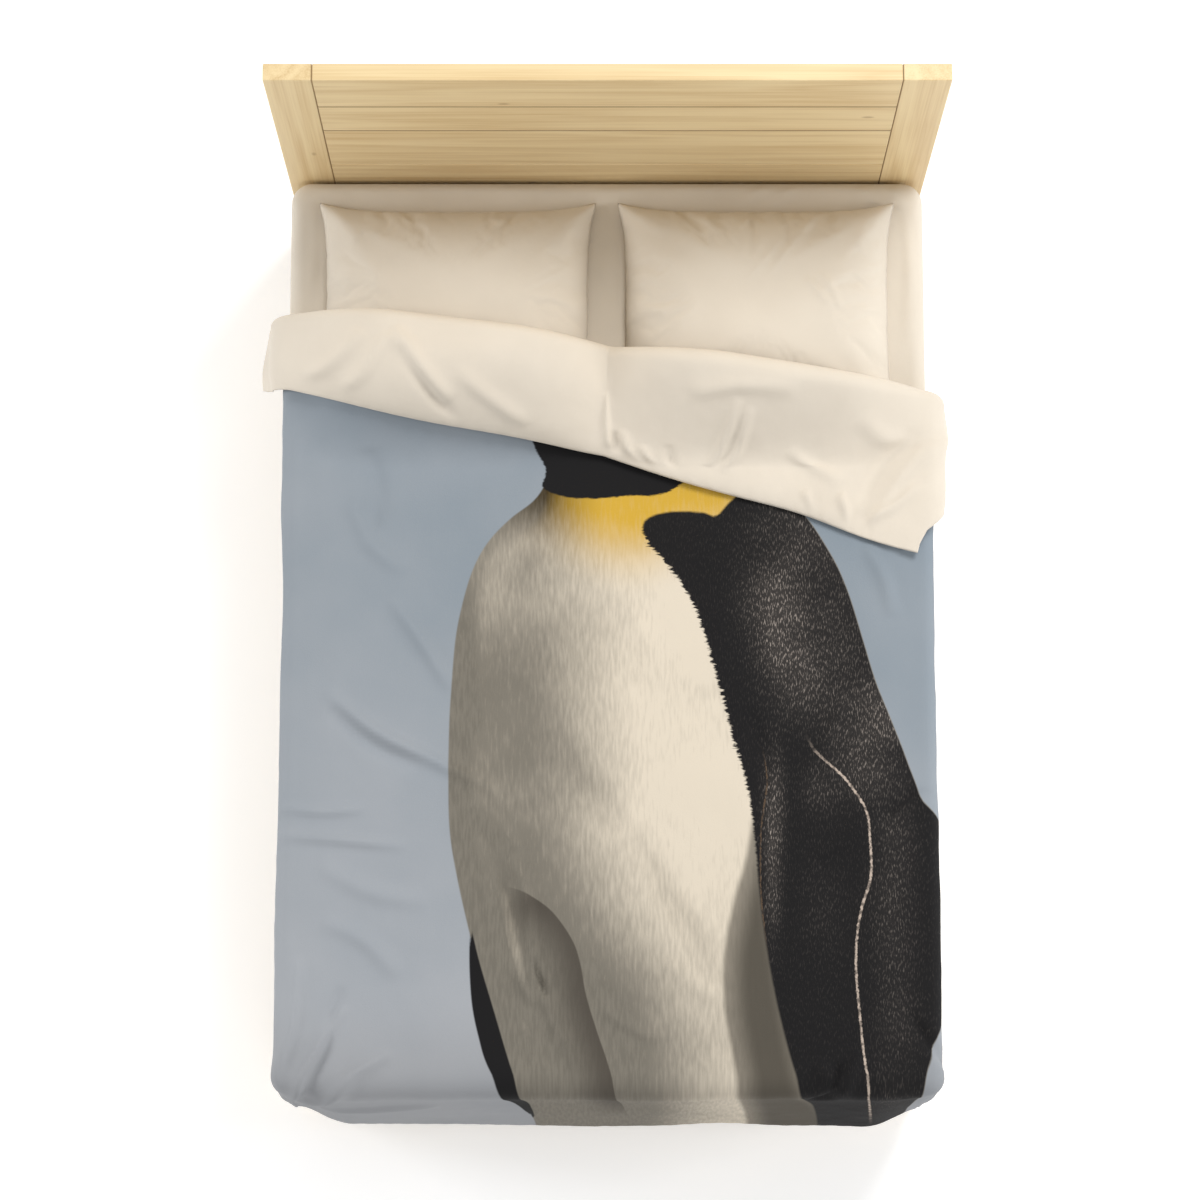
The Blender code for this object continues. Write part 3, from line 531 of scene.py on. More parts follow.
@dataclass(frozen=True)
class PenguinPrint:
    """The duvet's printed face: a standing penguin against a cold grey-blue haze.

    The mesh carries the depth inside each drawn outline, so an edge is sharp wherever a depth passes zero,
    and noise added to a depth frays that edge into feathers.
    """

    name: str = "duvet_print"
    haze_dark: Colour = (0.215, 0.255, 0.292)
    haze_pale: Colour = (0.392, 0.402, 0.422)
    white: Colour = (0.665, 0.590, 0.478)
    white_shade: Colour = (0.145, 0.132, 0.108)
    yellow: Colour = (0.560, 0.345, 0.042)
    yellow_shade: Colour = (0.040, 0.026, 0.008)
    black: Colour = (0.0085, 0.0080, 0.0085)
    sheen_black: Colour = (0.050, 0.044, 0.040)
    plume: Colour = (0.330, 0.285, 0.250)
    pale_line: Colour = (0.500, 0.410, 0.340)
    brown_edge: Colour = (0.150, 0.095, 0.055)
    # painted shade of the cloth turning down over the foot end
    foot_turn_shade: Colour = (0.215, 0.218, 0.226)
    hair: Colour = (0.290, 0.262, 0.215)
    fold_shade: Colour = (0.066, 0.056, 0.045)
    wing_shade: Colour = (0.078, 0.068, 0.053)

    def build(self) -> bpy.types.Material:
        """Makes the material.

        Returns:
            The material.
        """
        g = Graph(self.name, 0.9)
        flat = g.carried("print_place", "Vector")
        parts = g.add("ShaderNodeSeparateXYZ", {0: flat})
        across, along = parts.outputs[0], parts.outputs[1]
        strands = self._strands(g, flat)
        body = g.between(g.carried("body_depth"), -0.0022, 0.0022)
        haze = self._haze(g, flat, across, along)
        picture = g.mix(body, haze, self._front(g, flat, across, along, strands))
        fray = g.centred(g.strokes(flat, (60, 190, 1), 0.75, 3.0), 0.026)
        frayed = g.times(fray, g.between(along, 0.70, 1.15))
        frayed = g.times(frayed, g.less(1.12, g.between(along, 1.575, 1.610)))
        back_depth = g.plus(g.carried("back_depth"), frayed)
        back = g.times(g.between(back_depth, -0.003, 0.004), body)
        picture = g.mix(back, picture, self._dark(g, flat))
        hood_depth = g.plus(g.carried("hood_depth"), g.times(fray, 0.30))
        picture = g.mix(g.between(hood_depth, -0.002, 0.003), picture, self.black)
        sliver = g.between(g.carried("far_flipper_depth"), -0.002, 0.002)
        picture = g.mix(sliver, picture, self.black)
        g.colour(self._thin_lines(g, flat, picture))
        g.shader.inputs["Specular IOR Level"].default_value = 0.22
        g.relief(g.noise(g.place((300, 300, 300)), 1.0, 3.0), 0.0010, 0.35)
        return g.material

    def _strands(self, g: Graph, flat: Socket) -> Socket:
        """Fine strokes that run down the body, a few millimetres wide and centimetres long."""
        return g.strokes(flat, (170, 24, 1), 0.12, 3.0)

    def _haze(self, g: Graph, flat: Socket, across: Socket, along: Socket) -> Socket:
        """The background: paler towards the foot, with slow clouds, and greyer at the foot itself, where
        painted shade stands for the cloth turning down over the foot end.

        Args:
            g: the material's graph.
            flat: place on the flat duvet.
            across: its first coordinate.
            along: its second coordinate.

        Returns:
            The background's colour.
        """
        foot = g.fading(along, 0.15, 1.65)
        clouds = g.centred(g.noise(flat, 2.2, 3.0), 0.9)
        left = g.times(g.fading(across, -0.75, 0.80), 0.25)
        share = g.plus(g.plus(g.times(foot, 0.70), left), clouds, clamp=True)
        haze = g.mix(share, self.haze_dark, self.haze_pale)
        # painted shade: the haze greys towards the foot, where the cloth turns down over the end of the bed
        foot_turn_shade_share = g.times(g.fading(along, 0.33, 0.60), 0.55)
        return g.mix(foot_turn_shade_share, haze, self.foot_turn_shade)

    def _front(self, g: Graph, flat: Socket, across: Socket, along: Socket, strands: Socket) -> Socket:
        """The breast and belly: lit from the right, shaded at left and foot, yellow below the hood.

        Args:
            g: the material's graph.
            flat: place on the flat duvet.
            across: its first coordinate.
            along: its second coordinate.
            strands: the fine strokes of the feathers.

        Returns:
            The front's colour.
        """
        depth = g.carried("body_depth")
        rim = g.fading(depth, 0.0, 0.065)
        drift = g.times(g.fading(along, 0.42, 0.95), 0.20)
        left = g.fading(g.less(across, drift), -0.19, 0.12)
        chest = g.less(1.0, g.times(g.between(along, 1.28, 1.55), 0.50))
        low = g.fading(along, 0.35, 1.00)
        shade = g.times(g.times(left, 0.95), chest)
        shade = g.plus(shade, g.times(rim, 0.42))
        shade = g.plus(shade, g.times(low, 0.24))
        streaks = g.centred(strands, 0.55)
        mottle = g.centred(g.noise(flat, 4.5, 4.0), 0.40)
        shade = g.plus(g.plus(shade, streaks), mottle)
        shade = g.plus(shade, g.carried("belly_tone"), clamp=True)
        base = g.mix(g.times(shade, 0.97), self.white, self.white_shade)
        hairs = g.times(g.between(strands, 0.36, 0.64), g.times(shade, 0.24))
        base = g.mix(hairs, base, self.hair)
        fold = g.carried("belly_fold_gap")
        inner = g.times(g.between(fold, -0.0015, 0.002), g.fading(fold, 0.0, 0.105))
        inner = g.times(inner, g.carried("belly_fold_fade"))
        base = g.mix(g.times(inner, 0.88), base, self.fold_shade)
        wing_depth = g.carried("wing_shadow_depth")
        wing_shadow = g.times(g.between(wing_depth, -0.006, 0.010), 0.70)
        wing_shadow = g.plus(wing_shadow, g.times(g.between(wing_depth, 0.0, 0.06), 0.28))
        base = g.mix(wing_shadow, base, self.wing_shade)
        glow = g.between(g.carried("yellow_depth"), -0.170, 0.030)
        glow = g.sum_of("POWER", glow, 1.25)
        glow = g.times(glow, g.plus(1.0, g.times(streaks, 0.7)), clamp=True)
        olive = g.times(g.fading(across, -0.17, 0.01), 0.92)
        olive = g.plus(olive, g.times(rim, 0.20), clamp=True)
        return g.mix(glow, base, g.mix(olive, self.yellow, self.yellow_shade))

    def _dark(self, g: Graph, flat: Socket) -> Socket:
        """The back and flipper: near black, with pale feather tips scattered densest on the upper back.

        Args:
            g: the material's graph.
            flat: place on the flat duvet.

        Returns:
            The back's colour.
        """
        tips = g.strokes(flat, (380, 95, 1), -0.42, 2.5)
        patches = g.noise(flat, 6.0, 3.0)
        lit = g.carried("back_light")
        lit = g.times(lit, g.plus(0.35, g.between(patches, 0.30, 0.65)))
        speck = g.times(g.between(tips, 0.50, 0.78), g.plus(0.05, lit), clamp=True)
        ground = g.mix(g.times(lit, 0.55, clamp=True), self.black, self.sheen_black)
        return g.mix(speck, ground, self.plume)

    def _thin_lines(self, g: Graph, flat: Socket, picture: Socket) -> Socket:
        """The pale line where the flipper folds against the back, and the brown edge at its front.

        Args:
            g: the material's graph.
            flat: place on the flat duvet.
            picture: the colour that the lines are laid on.

        Returns:
            The picture with its lines.
        """
        ragged = g.centred(g.noise(flat, 150.0, 3.0), 0.0065)
        beads = g.noise(flat, 85.0, 3.0)
        for name, reach, strength, tint in (
            ("wing_line", 0.0036, 0.95, self.pale_line),
            ("flipper_edge", 0.0022, 0.55, self.brown_edge),
        ):
            gap = g.sum_of("ABSOLUTE", g.plus(g.carried(f"{name}_gap"), ragged))
            line = g.fading(gap, reach * 0.3, reach)
            line = g.times(line, g.carried(f"{name}_fade"))
            line = g.times(line, g.plus(0.30, g.between(beads, 0.36, 0.62)), clamp=True)
            picture = g.mix(g.times(line, strength), picture, tint)
        return picture


# ---------------------------------------------------------------- the duvet


@dataclass(frozen=True)
class Crease:
    """One fold of the cloth: a run of points on the flat duvet, its height and its width.

    A positive height is a ridge and a negative one a valley.
    """

    points: Outline
    height: float
    width: float

    def lift(self, across: np.ndarray, along: np.ndarray) -> np.ndarray:
        """Height times a bell across the line, fading in and out along it.

        Args:
            across: each point's place across the flat duvet.
            along: each point's place along it.

        Returns:
            How far the crease lifts each point.
        """
        line = smooth_curve(self.points, closed=False, per_span=5)
        gap, share, _ = distance_to_line(across, along, line)
        fade = np.clip(4 * share * (1 - share), 0, 1) ** 0.6
        return self.height * fade * np.exp(-((gap / self.width) ** 2))


@dataclass
class Drape:
    """How the duvet lies: flat on the sheet, hanging over three edges, lifted by the pillows, turned down.

    Distances are in metres in the bed's frame.
    """

    top: float = 0.5221
    flat_side: float = 0.6791
    flat_foot: float = -0.98118
    bend: float = 0.025
    hang_angle: float = math.radians(89.3)
    flap_hang_angle: float = math.radians(84.0)
    flap_length: float = 0.30
    hang_from: float = 0.56
    hang_blend: float = 0.12
    flap_blend: float = 0.16
    corner_pull: float = 0.105
    corner_from: float = 0.42
    corner_blend: float = 0.42
    flap_dip: float = 0.125
    dip_centre: float = -0.10
    dip_width: float = 0.24
    bump: float = 0.137
    bump_inner: float = 0.45
    bump_outer: float = 1.42
    fold_y: float = 0.57492
    fold_at: float = 1.96638
    fold_centre: float = 0.0245
    fold_run: float = 0.0471239
    slope: float = math.radians(7.0)

    def surface(self, x: np.ndarray, y: np.ndarray) -> np.ndarray:
        """The surface under the duvet: a plane that turns down round a radius past each edge.

        Past the flat part the cloth's run is spent first on an arc of the bend's radius and then on a drop,
        which is steeper at the sides below the turned-down part. Each pillow adds a smooth step of the
        fourth-power mean of the two shares from its centre.

        Args:
            x: plan coordinate across the bed.
            y: plan coordinate along it.

        Returns:
            The points, with x, y, z last.
        """
        near_x = np.clip(x, -self.flat_side, self.flat_side)
        near_y = np.maximum(y, self.flat_foot)
        run = np.hypot(x - near_x, y - near_y)
        below_flap = self.fold_y - x * math.tan(self.slope) - self.flap_length - y
        sideways = smooth_step((np.abs(x) - self.hang_from) / self.hang_blend)
        share = smooth_step(below_flap / self.flap_blend + 0.6) * sideways
        steep = self.flap_hang_angle + (self.hang_angle - self.flap_hang_angle) * share
        turned = np.minimum(run / self.bend, steep)
        straight = np.maximum(run - self.bend * steep, 0.0)
        out = self.bend * np.sin(turned) + straight * np.cos(steep)
        down = self.bend * (1 - np.cos(turned)) + straight * np.sin(steep)
        share = np.where(run > 0, out / np.maximum(run, 1e-9), 0.0)
        z = self.top - down + self.pillows(x, y)
        return np.stack([near_x + (x - near_x) * share, near_y + (y - near_y) * share, z], -1)

    def pillows(self, x: np.ndarray, y: np.ndarray) -> np.ndarray:
        """How far the pillows hold the duvet up.

        Args:
            x: plan coordinate across the bed.
            y: plan coordinate along it.

        Returns:
            The height that they add at each point.
        """
        height = np.zeros_like(x)
        for centre in (-PILLOW_X, PILLOW_X):
            u, v = (x - centre) / PILLOW_HALF[0], (y - PILLOW_Y) / PILLOW_HALF[1]
            radial = (u**4 + v**4) ** 0.25
            rise = smooth_step((self.bump_outer - radial) / (self.bump_outer - self.bump_inner))
            height = np.hypot(height, self.bump * rise)
        return height

    def place(self, across: np.ndarray, along: np.ndarray, level: np.ndarray, lift: np.ndarray) -> np.ndarray:
        """Where a point of the flat duvet lies on the bed.

        Past the fold line it goes round half a circle about the fold's centre and then back, upside down. The
        right-hand free corner is drawn in towards the middle, and the free edge is drawn back in one place by
        a bell. The height off the bed is laid off along the surface's normal, from central differences.

        Args:
            across: place across the flat duvet, from its centre line.
            along: place along it, from the foot hem.
            level: height within the duvet, 0 at its plain face.
            lift: extra height from creases.

        Returns:
            The points, with x, y, z last.
        """
        cosine, sine = math.cos(self.slope), math.sin(self.slope)
        past = along - self.fold_at
        beyond = across * sine + past * cosine
        side = across * cosine - past * sine
        turned = np.clip(beyond * math.pi / self.fold_run, 0.0, math.pi)
        radius = self.fold_centre - level
        folded = beyond > 0
        gathered = np.clip((beyond - self.fold_run / 2) / self.flap_length, 0, 1)
        gathered = gathered * smooth_step((across - self.corner_from) / self.corner_blend)
        height = np.where(folded, self.fold_centre - radius * np.cos(turned), level) + lift
        short = 1 - self.flap_dip * np.exp(-(((across - self.dip_centre) / self.dip_width) ** 2))
        reach = radius * np.sin(turned) - np.maximum(beyond - self.fold_run, 0.0) * short
        beyond = np.where(folded, reach, beyond)
        x, y = side * cosine + beyond * sine, self.fold_y - side * sine + beyond * cosine
        x = x - self.corner_pull * gathered
        step = 1e-4
        slope_x = self.surface(x + step, y) - self.surface(x - step, y)
        slope_y = self.surface(x, y + step) - self.surface(x, y - step)
        normal = np.cross(slope_x, slope_y)
        normal /= np.linalg.norm(normal, axis=-1, keepdims=True)
        return self.surface(x, y) + normal * height[..., None]


@dataclass
class PrintOutlines:
    """The penguin's outlines on the flat duvet, in metres across from its middle and along from its foot.

    A row of lit_back is a soft patch of light: its centre, its two radii and its strength.
    """

    body: Outline = (
        (-0.15, -0.4), (-0.155, -0.05), (-0.16, 0.15), (-0.179, 0.34), (-0.217, 0.432), (-0.233, 0.485),
        (-0.263, 0.59), (-0.29, 0.7), (-0.318, 0.82), (-0.337, 0.93), (-0.341, 1.05), (-0.34, 1.17),
        (-0.336, 1.246), (-0.327, 1.36), (-0.306, 1.46), (-0.283, 1.525), (-0.252, 1.575), (-0.208, 1.62),
        (-0.163, 1.655), (-0.138, 1.69), (-0.131, 1.73), (-0.158, 1.8), (-0.19, 1.95), (-0.19, 2.3),
        (0.3, 2.3), (0.3, 1.9), (0.36, 1.71), (0.425, 1.63), (0.455, 1.59), (0.492, 1.527),
        (0.513, 1.48), (0.531, 1.428), (0.556, 1.34), (0.58, 1.258), (0.606, 1.19), (0.634, 1.117),
        (0.658, 1.05), (0.684, 0.99), (0.74, 0.94), (0.83, 0.9), (0.92, 0.86), (0.92, 0.66),
        (0.8, 0.6), (0.71, 0.52), (0.68, 0.43), (0.662, 0.34), (0.65, 0.2), (0.645, -0.05),
        (0.645, -0.4),
    )
    hood: Outline = (
        (-0.20, 2.30), (-0.20, 1.95), (-0.165, 1.80), (-0.134, 1.73), (-0.142, 1.692), (-0.12, 1.675),
        (-0.09, 1.666), (-0.04, 1.662), (0.01, 1.665), (0.055, 1.669), (0.10, 1.669), (0.135, 1.678),
        (0.165, 1.697), (0.20, 1.73), (0.22, 1.80), (0.24, 2.30),
    )
    back: Outline = (
        (0.35, 2.3), (0.33, 1.8), (0.295, 1.69), (0.262, 1.65), (0.236, 1.624), (0.208, 1.632),
        (0.146, 1.634), (0.098, 1.624), (0.077, 1.602), (0.09, 1.56), (0.124, 1.522), (0.162, 1.47),
        (0.187, 1.425), (0.207, 1.372), (0.228, 1.296), (0.252, 1.209), (0.27, 1.134), (0.29, 1.069),
        (0.303, 1.015), (0.311, 0.96), (0.324, 0.81), (0.33, 0.745), (0.345, 0.643), (0.364, 0.545),
        (0.391, 0.438), (0.42, 0.35), (0.446, 0.25), (0.47, -0.05), (0.48, -0.4), (1, -0.4),
        (1, 2.3),
    )
    far_flipper: Outline = (
        (-0.2895, 0.725), (-0.293, 0.705), (-0.2927, 0.633), (-0.2865, 0.557), (-0.272, 0.49),
        (-0.2535, 0.432), (-0.204, 0.34), (-0.183, 0.27), (-0.167, 0.20), (-0.160, 0.16), (-0.158, 0.20),
        (-0.162, 0.27),
        (-0.172, 0.34), (-0.205, 0.432), (-0.243, 0.557), (-0.27, 0.646), (-0.286, 0.71),
    )
    wing_shadow: Outline = (
        (0.325, 1.02), (0.295, 0.874), (0.272, 0.797), (0.253, 0.708), (0.2445, 0.633), (0.248, 0.545),
        (0.2625, 0.457), (0.278, 0.36), (0.3, 0.15), (0.31, -0.05), (0.31, -0.4), (0.55, -0.4),
        (0.5, 0.2), (0.43, 0.42), (0.39, 0.65), (0.36, 0.9),
    )
    yellow: Outline = (
        (-0.15, 1.70), (-0.13, 1.66), (-0.07, 1.635), (0.00, 1.612), (0.06, 1.600), (0.10, 1.615),
        (0.16, 1.64), (0.23, 1.64), (0.27, 1.67), (0.26, 1.78), (0.05, 1.82), (-0.12, 1.78),
    )
    wing_line: Outline = (
        (0.425, 1.15), (0.4485, 1.104), (0.499, 1.059), (0.53, 1.021), (0.5555, 0.976), (0.562, 0.925),
        (0.5645, 0.861), (0.561, 0.823), (0.544, 0.772), (0.532, 0.708), (0.529, 0.633), (0.5355, 0.545),
        (0.543, 0.457), (0.554, 0.385), (0.566, 0.25), (0.577, 0.05),
    )
    flipper_edge: Outline = (
        (0.332, 1.12), (0.34, 1.085), (0.344, 1.04), (0.337, 0.989), (0.329, 0.925), (0.328, 0.81),
        (0.334, 0.734), (0.345, 0.65),
    )
    belly_fold: Outline = (
        (-0.235, 0.815), (-0.199, 0.81), (-0.149, 0.785), (-0.111, 0.753), (-0.073, 0.697), (-0.0563, 0.646),
        (-0.045, 0.583), (-0.0224, 0.508), (0.003, 0.432), (0.03, 0.33), (0.05, 0.15),
    )
    belly_strokes: tuple[Crease, ...] = (
        Crease([(-0.222, 0.81), (-0.205, 0.72), (-0.185, 0.64), (-0.167, 0.585)], -0.38, 0.011),
        Crease([(-0.240, 0.80), (-0.232, 0.70), (-0.210, 0.60), (-0.195, 0.52)], 0.30, 0.014),
        Crease([(-0.150, 0.70), (-0.163, 0.645), (-0.163, 0.600), (-0.155, 0.540)], 0.35, 0.0080),
        Crease([(-0.164, 0.600), (-0.161, 0.565), (-0.150, 0.530)], 0.60, 0.0065),
        Crease([(-0.190, 0.560), (-0.172, 0.500), (-0.150, 0.440)], -0.22, 0.014),
        Crease([(-0.200, 0.50), (-0.170, 0.40), (-0.140, 0.30)], 0.25, 0.040),
        Crease([(-0.060, 0.47), (-0.020, 0.40), (0.010, 0.34)], 0.15, 0.030),
        Crease([(-0.300, 0.98), (-0.250, 0.93), (-0.200, 0.88)], 0.20, 0.020),
        Crease([(-0.335, 1.28), (-0.30, 1.20), (-0.285, 1.14)], 0.22, 0.018),
        Crease([(0.060, 0.95), (0.125, 0.80), (0.185, 0.70), (0.235, 0.60)], 0.22, 0.030),
        Crease([(-0.120, 1.16), (-0.040, 1.04), (0.040, 0.94)], 0.14, 0.030),
        Crease([(-0.250, 1.52), (-0.190, 1.50), (-0.150, 1.56)], 0.22, 0.045),
        Crease([(0.150, 1.50), (0.190, 1.38), (0.215, 1.25)], -0.20, 0.050),
        Crease([(0.180, 1.10), (0.230, 0.98), (0.270, 0.90)], -0.16, 0.060),
    )
    lit_back: tuple[tuple[float, ...], ...] = (
        (0.375, 1.42, 0.065, 0.13, 1.00), (0.42, 1.30, 0.07, 0.10, 0.75), (0.55, 1.13, 0.06, 0.10, 0.90),
        (0.42, 1.60, 0.10, 0.06, 0.50), (0.50, 1.42, 0.07, 0.12, 0.45), (0.60, 1.18, 0.05, 0.10, 0.50),
        (0.358, 1.00, 0.020, 0.10, 0.80), (0.352, 0.84, 0.017, 0.14, 0.65), (0.46, 1.02, 0.04, 0.06, 0.30),
        (0.610, 0.85, 0.045, 0.22, 0.34), (0.615, 0.45, 0.045, 0.22, 0.22), (0.46, 0.75, 0.05, 0.15, 0.10),
    )

    def fields(self, across: np.ndarray, along: np.ndarray) -> dict[str, np.ndarray]:
        """The values that the print reads at each point of the flat duvet.

        Args:
            across: place across the flat duvet.
            along: place along it.

        Returns:
            The values by the names that the print reads.
        """
        made = {}
        for name in ("body", "hood", "back", "far_flipper", "wing_shadow", "yellow"):
            outline = smooth_curve(getattr(self, name), closed=True)
            made[f"{name}_depth"] = inside_depth(across, along, outline)
        for name in ("wing_line", "flipper_edge", "belly_fold"):
            line = smooth_curve(getattr(self, name), closed=False)
            gap, share, side = distance_to_line(across, along, line)
            made[f"{name}_gap"] = -gap * side
            made[f"{name}_fade"] = smooth_step(share / 0.12) * smooth_step((1 - share) / 0.30)
        light = np.zeros_like(across)
        for cx, cy, rx, ry, power in self.lit_back:
            light = light + power * np.exp(-(((across - cx) / rx) ** 2) - ((along - cy) / ry) ** 2)
        made["back_light"] = np.minimum(light, 1.0)
        made["belly_tone"] = sum(stroke.lift(across, along) for stroke in self.belly_strokes)
        return made


@dataclass
class Duvet:
    """The filled duvet in its cover, as one closed padded body with a printed and a plain face."""

    width: float = 1.730
    length: float = 2.240
    thickness: float = 0.020
    seam: float = 0.0028
    taper: float = 0.070
    columns: int = 216
    main_rows: int = 236
    fold_rows: int = 14
    flap_rows: int = 40
    first_row: float = 0.021
    closing: float = 0.0012
    side_fill: tuple[float, float] = (0.14, 0.30)
    crease_power: float = 2.1
    side_billow: tuple[float, float] = (0.002, 0.006)
    foot_billow: float = 0.010
    flap_flare: float = 0.018
    foot_roll: float = 0.008
    drape: Drape = field(default_factory=Drape)
    outlines: PrintOutlines = field(default_factory=PrintOutlines)
    creases: tuple[Crease, ...] = (
        # a star of pulls at the left foot corner
        Crease([(-0.690, 0.33), (-0.640, 0.42), (-0.560, 0.56)], 0.0075, 0.011),
        Crease([(-0.680, 0.30), (-0.590, 0.38), (-0.460, 0.46)], 0.0070, 0.011),
        Crease([(-0.650, 0.36), (-0.600, 0.47), (-0.565, 0.60)], -0.0050, 0.012),
        Crease([(-0.700, 0.40), (-0.670, 0.52), (-0.660, 0.66)], 0.0055, 0.012),
        Crease([(-0.620, 0.24), (-0.500, 0.28), (-0.360, 0.30)], 0.0050, 0.014),
        # soft pulls down the left side
        Crease([(-0.470, 1.44), (-0.410, 1.36), (-0.335, 1.24)], 0.0060, 0.015),
        Crease([(-0.610, 1.24), (-0.500, 1.15), (-0.360, 1.08), (-0.220, 1.01)], 0.0065, 0.014),
        Crease([(-0.600, 1.20), (-0.500, 1.115), (-0.400, 1.07)], -0.0050, 0.015),
        Crease([(-0.700, 0.985), (-0.610, 0.975), (-0.520, 0.98)], 0.0045, 0.010),
        Crease([(-0.700, 0.925), (-0.580, 0.915), (-0.430, 0.900)], 0.0050, 0.011),
        Crease([(-0.620, 0.86), (-0.500, 0.80), (-0.380, 0.78)], 0.0040, 0.020),
        Crease([(-0.560, 1.66), (-0.500, 1.55), (-0.430, 1.50)], 0.0050, 0.020),
        Crease([(-0.520, 1.78), (-0.500, 1.66), (-0.520, 1.56)], -0.0045, 0.022),
        Crease([(-0.610, 0.74), (-0.520, 0.70), (-0.440, 0.62)], 0.0040, 0.018),
        # the tuck across the belly and the pulls inside it
        Crease([(-0.235, 0.87), (-0.205, 0.76), (-0.190, 0.66)], -0.0055, 0.012),
        Crease([(-0.205, 0.885), (-0.170, 0.78), (-0.165, 0.68), (-0.150, 0.58)], 0.0060, 0.010),
        Crease([(-0.160, 0.66), (-0.150, 0.625), (-0.125, 0.575)], -0.0090, 0.0065),
        Crease([(-0.190, 0.64), (-0.180, 0.60), (-0.165, 0.56)], 0.0050, 0.010),
        Crease([(-0.140, 0.60), (-0.100, 0.50), (-0.060, 0.42)], 0.0055, 0.016),
        # the belly's right half
        Crease([(0.060, 0.92), (0.125, 0.80), (0.185, 0.70), (0.235, 0.60)], -0.0045, 0.024),
        Crease([(0.120, 0.66), (0.190, 0.60), (0.270, 0.56)], 0.0035, 0.018),
        Crease([(-0.020, 0.56), (0.060, 0.505), (0.130, 0.49)], 0.0035, 0.012),
        Crease([(-0.120, 1.14), (-0.040, 1.02), (0.040, 0.93)], -0.0032, 0.028),
        Crease([(-0.230, 1.33), (-0.150, 1.24), (-0.070, 1.20)], 0.0030, 0.026),
        Crease([(0.020, 1.45), (0.080, 1.36), (0.110, 1.24)], 0.0028, 0.026),
        # over the wing and at the foot
        Crease([(0.300, 1.20), (0.340, 1.08), (0.320, 0.98)], -0.0045, 0.020),
        Crease([(0.520, 1.22), (0.470, 1.12), (0.430, 1.06)], 0.0045, 0.020),
        Crease([(0.600, 1.00), (0.520, 0.92), (0.440, 0.88)], 0.0040, 0.018),
        Crease([(0.690, 1.02), (0.640, 1.00), (0.580, 0.96)], -0.0045, 0.010),
        Crease([(0.440, 0.43), (0.500, 0.40), (0.540, 0.46)], 0.0065, 0.013),
        Crease([(0.430, 0.36), (0.470, 0.38), (0.500, 0.44)], -0.0060, 0.010),
        Crease([(0.640, 0.55), (0.690, 0.47), (0.740, 0.42)], -0.0060, 0.012),
        Crease([(0.560, 1.56), (0.600, 1.49), (0.620, 1.40)], 0.0045, 0.016),
        Crease([(0.640, 1.54), (0.620, 1.62), (0.590, 1.68)], 0.0045, 0.018),
        # the turned-down part, beyond the fold
        Crease([(-0.600, 2.215), (-0.540, 2.165), (-0.500, 2.10)], 0.0050, 0.014),
        Crease([(-0.520, 2.220), (-0.480, 2.17), (-0.455, 2.10)], 0.0045, 0.012),
        Crease([(-0.450, 2.09), (-0.380, 2.14), (-0.300, 2.185)], 0.0060, 0.016),
        Crease([(-0.430, 2.12), (-0.350, 2.175), (-0.280, 2.225)], -0.0050, 0.012),
        Crease([(-0.300, 2.13), (-0.200, 2.17), (-0.130, 2.200)], 0.0042, 0.016),
        Crease([(0.020, 2.09), (0.035, 2.15), (0.060, 2.215)], 0.0045, 0.016),
        Crease([(0.085, 2.15), (0.100, 2.19), (0.120, 2.232)], 0.0042, 0.009),
        Crease([(0.130, 2.17), (0.145, 2.20), (0.168, 2.235)], 0.0040, 0.008),
        Crease([(0.060, 2.16), (0.072, 2.19), (0.085, 2.232)], -0.0035, 0.009),
        Crease([(0.180, 2.15), (0.192, 2.19), (0.210, 2.23)], -0.0035, 0.009),
        Crease([(0.300, 2.02), (0.290, 2.10), (0.275, 2.19)], 0.0048, 0.010),
        Crease([(0.330, 2.03), (0.325, 2.11), (0.310, 2.20)], 0.0045, 0.009),
        Crease([(0.200, 2.04), (0.300, 2.00), (0.420, 1.975)], 0.0035, 0.014),
        Crease([(0.430, 2.09), (0.500, 2.13), (0.600, 2.15)], 0.0040, 0.016),
        Crease([(0.600, 2.17), (0.640, 2.20), (0.670, 2.235)], 0.0050, 0.010),
        Crease([(0.500, 2.19), (0.520, 2.21), (0.545, 2.238)], 0.0045, 0.009),
        Crease([(0.800, 2.10), (0.770, 2.16), (0.720, 2.20)], 0.0050, 0.014),
        Crease([(0.790, 1.93), (0.765, 2.02), (0.745, 2.12), (0.740, 2.22)], 0.0040, 0.020),
        Crease([(0.700, 1.99), (0.690, 2.08), (0.680, 2.18)], -0.0040, 0.022),
        Crease([(0.560, 1.99), (0.640, 2.02), (0.720, 2.01)], 0.0040, 0.018),
    )

    def grid(self) -> tuple[np.ndarray, np.ndarray]:
        """The flat duvet's grid: even columns, and rows that follow the slanted fold.

        Both ways the lines crowd towards the seams, where the filling thins out.

        Returns:
            Place across and place along, one row of points for each row of the grid.
        """
        half, first = self.width / 2, self.first_row
        extra = np.array([0.0, 0.0015, 0.004, 0.008, 0.014])
        inner = np.linspace(-half + first, half - first, self.columns)
        across = np.concatenate([-half + extra, inner, half - extra[::-1]])
        start = self.drape.fold_at - across * math.tan(self.drape.slope)
        end = start + self.drape.fold_run / math.cos(self.drape.slope)
        foot, head = extra, self.length - extra[::-1]
        main = np.linspace(first, 1.0, self.main_rows, endpoint=False)[:, None]
        rows = [np.repeat(foot[:, None], len(across), 1)]
        rows.append(first + (main - first) / (1 - first) * (start - first)[None, :])
        rows.append(start + (end - start) * np.linspace(0, 1, self.fold_rows, endpoint=False)[:, None])
        rows.append(end + (self.length - first - end) * np.linspace(0, 1, self.flap_rows)[:, None])
        rows.append(np.repeat(head[:, None], len(across), 1))
        along = np.vstack(rows)
        return np.repeat(across[None, :], len(along), 0), along

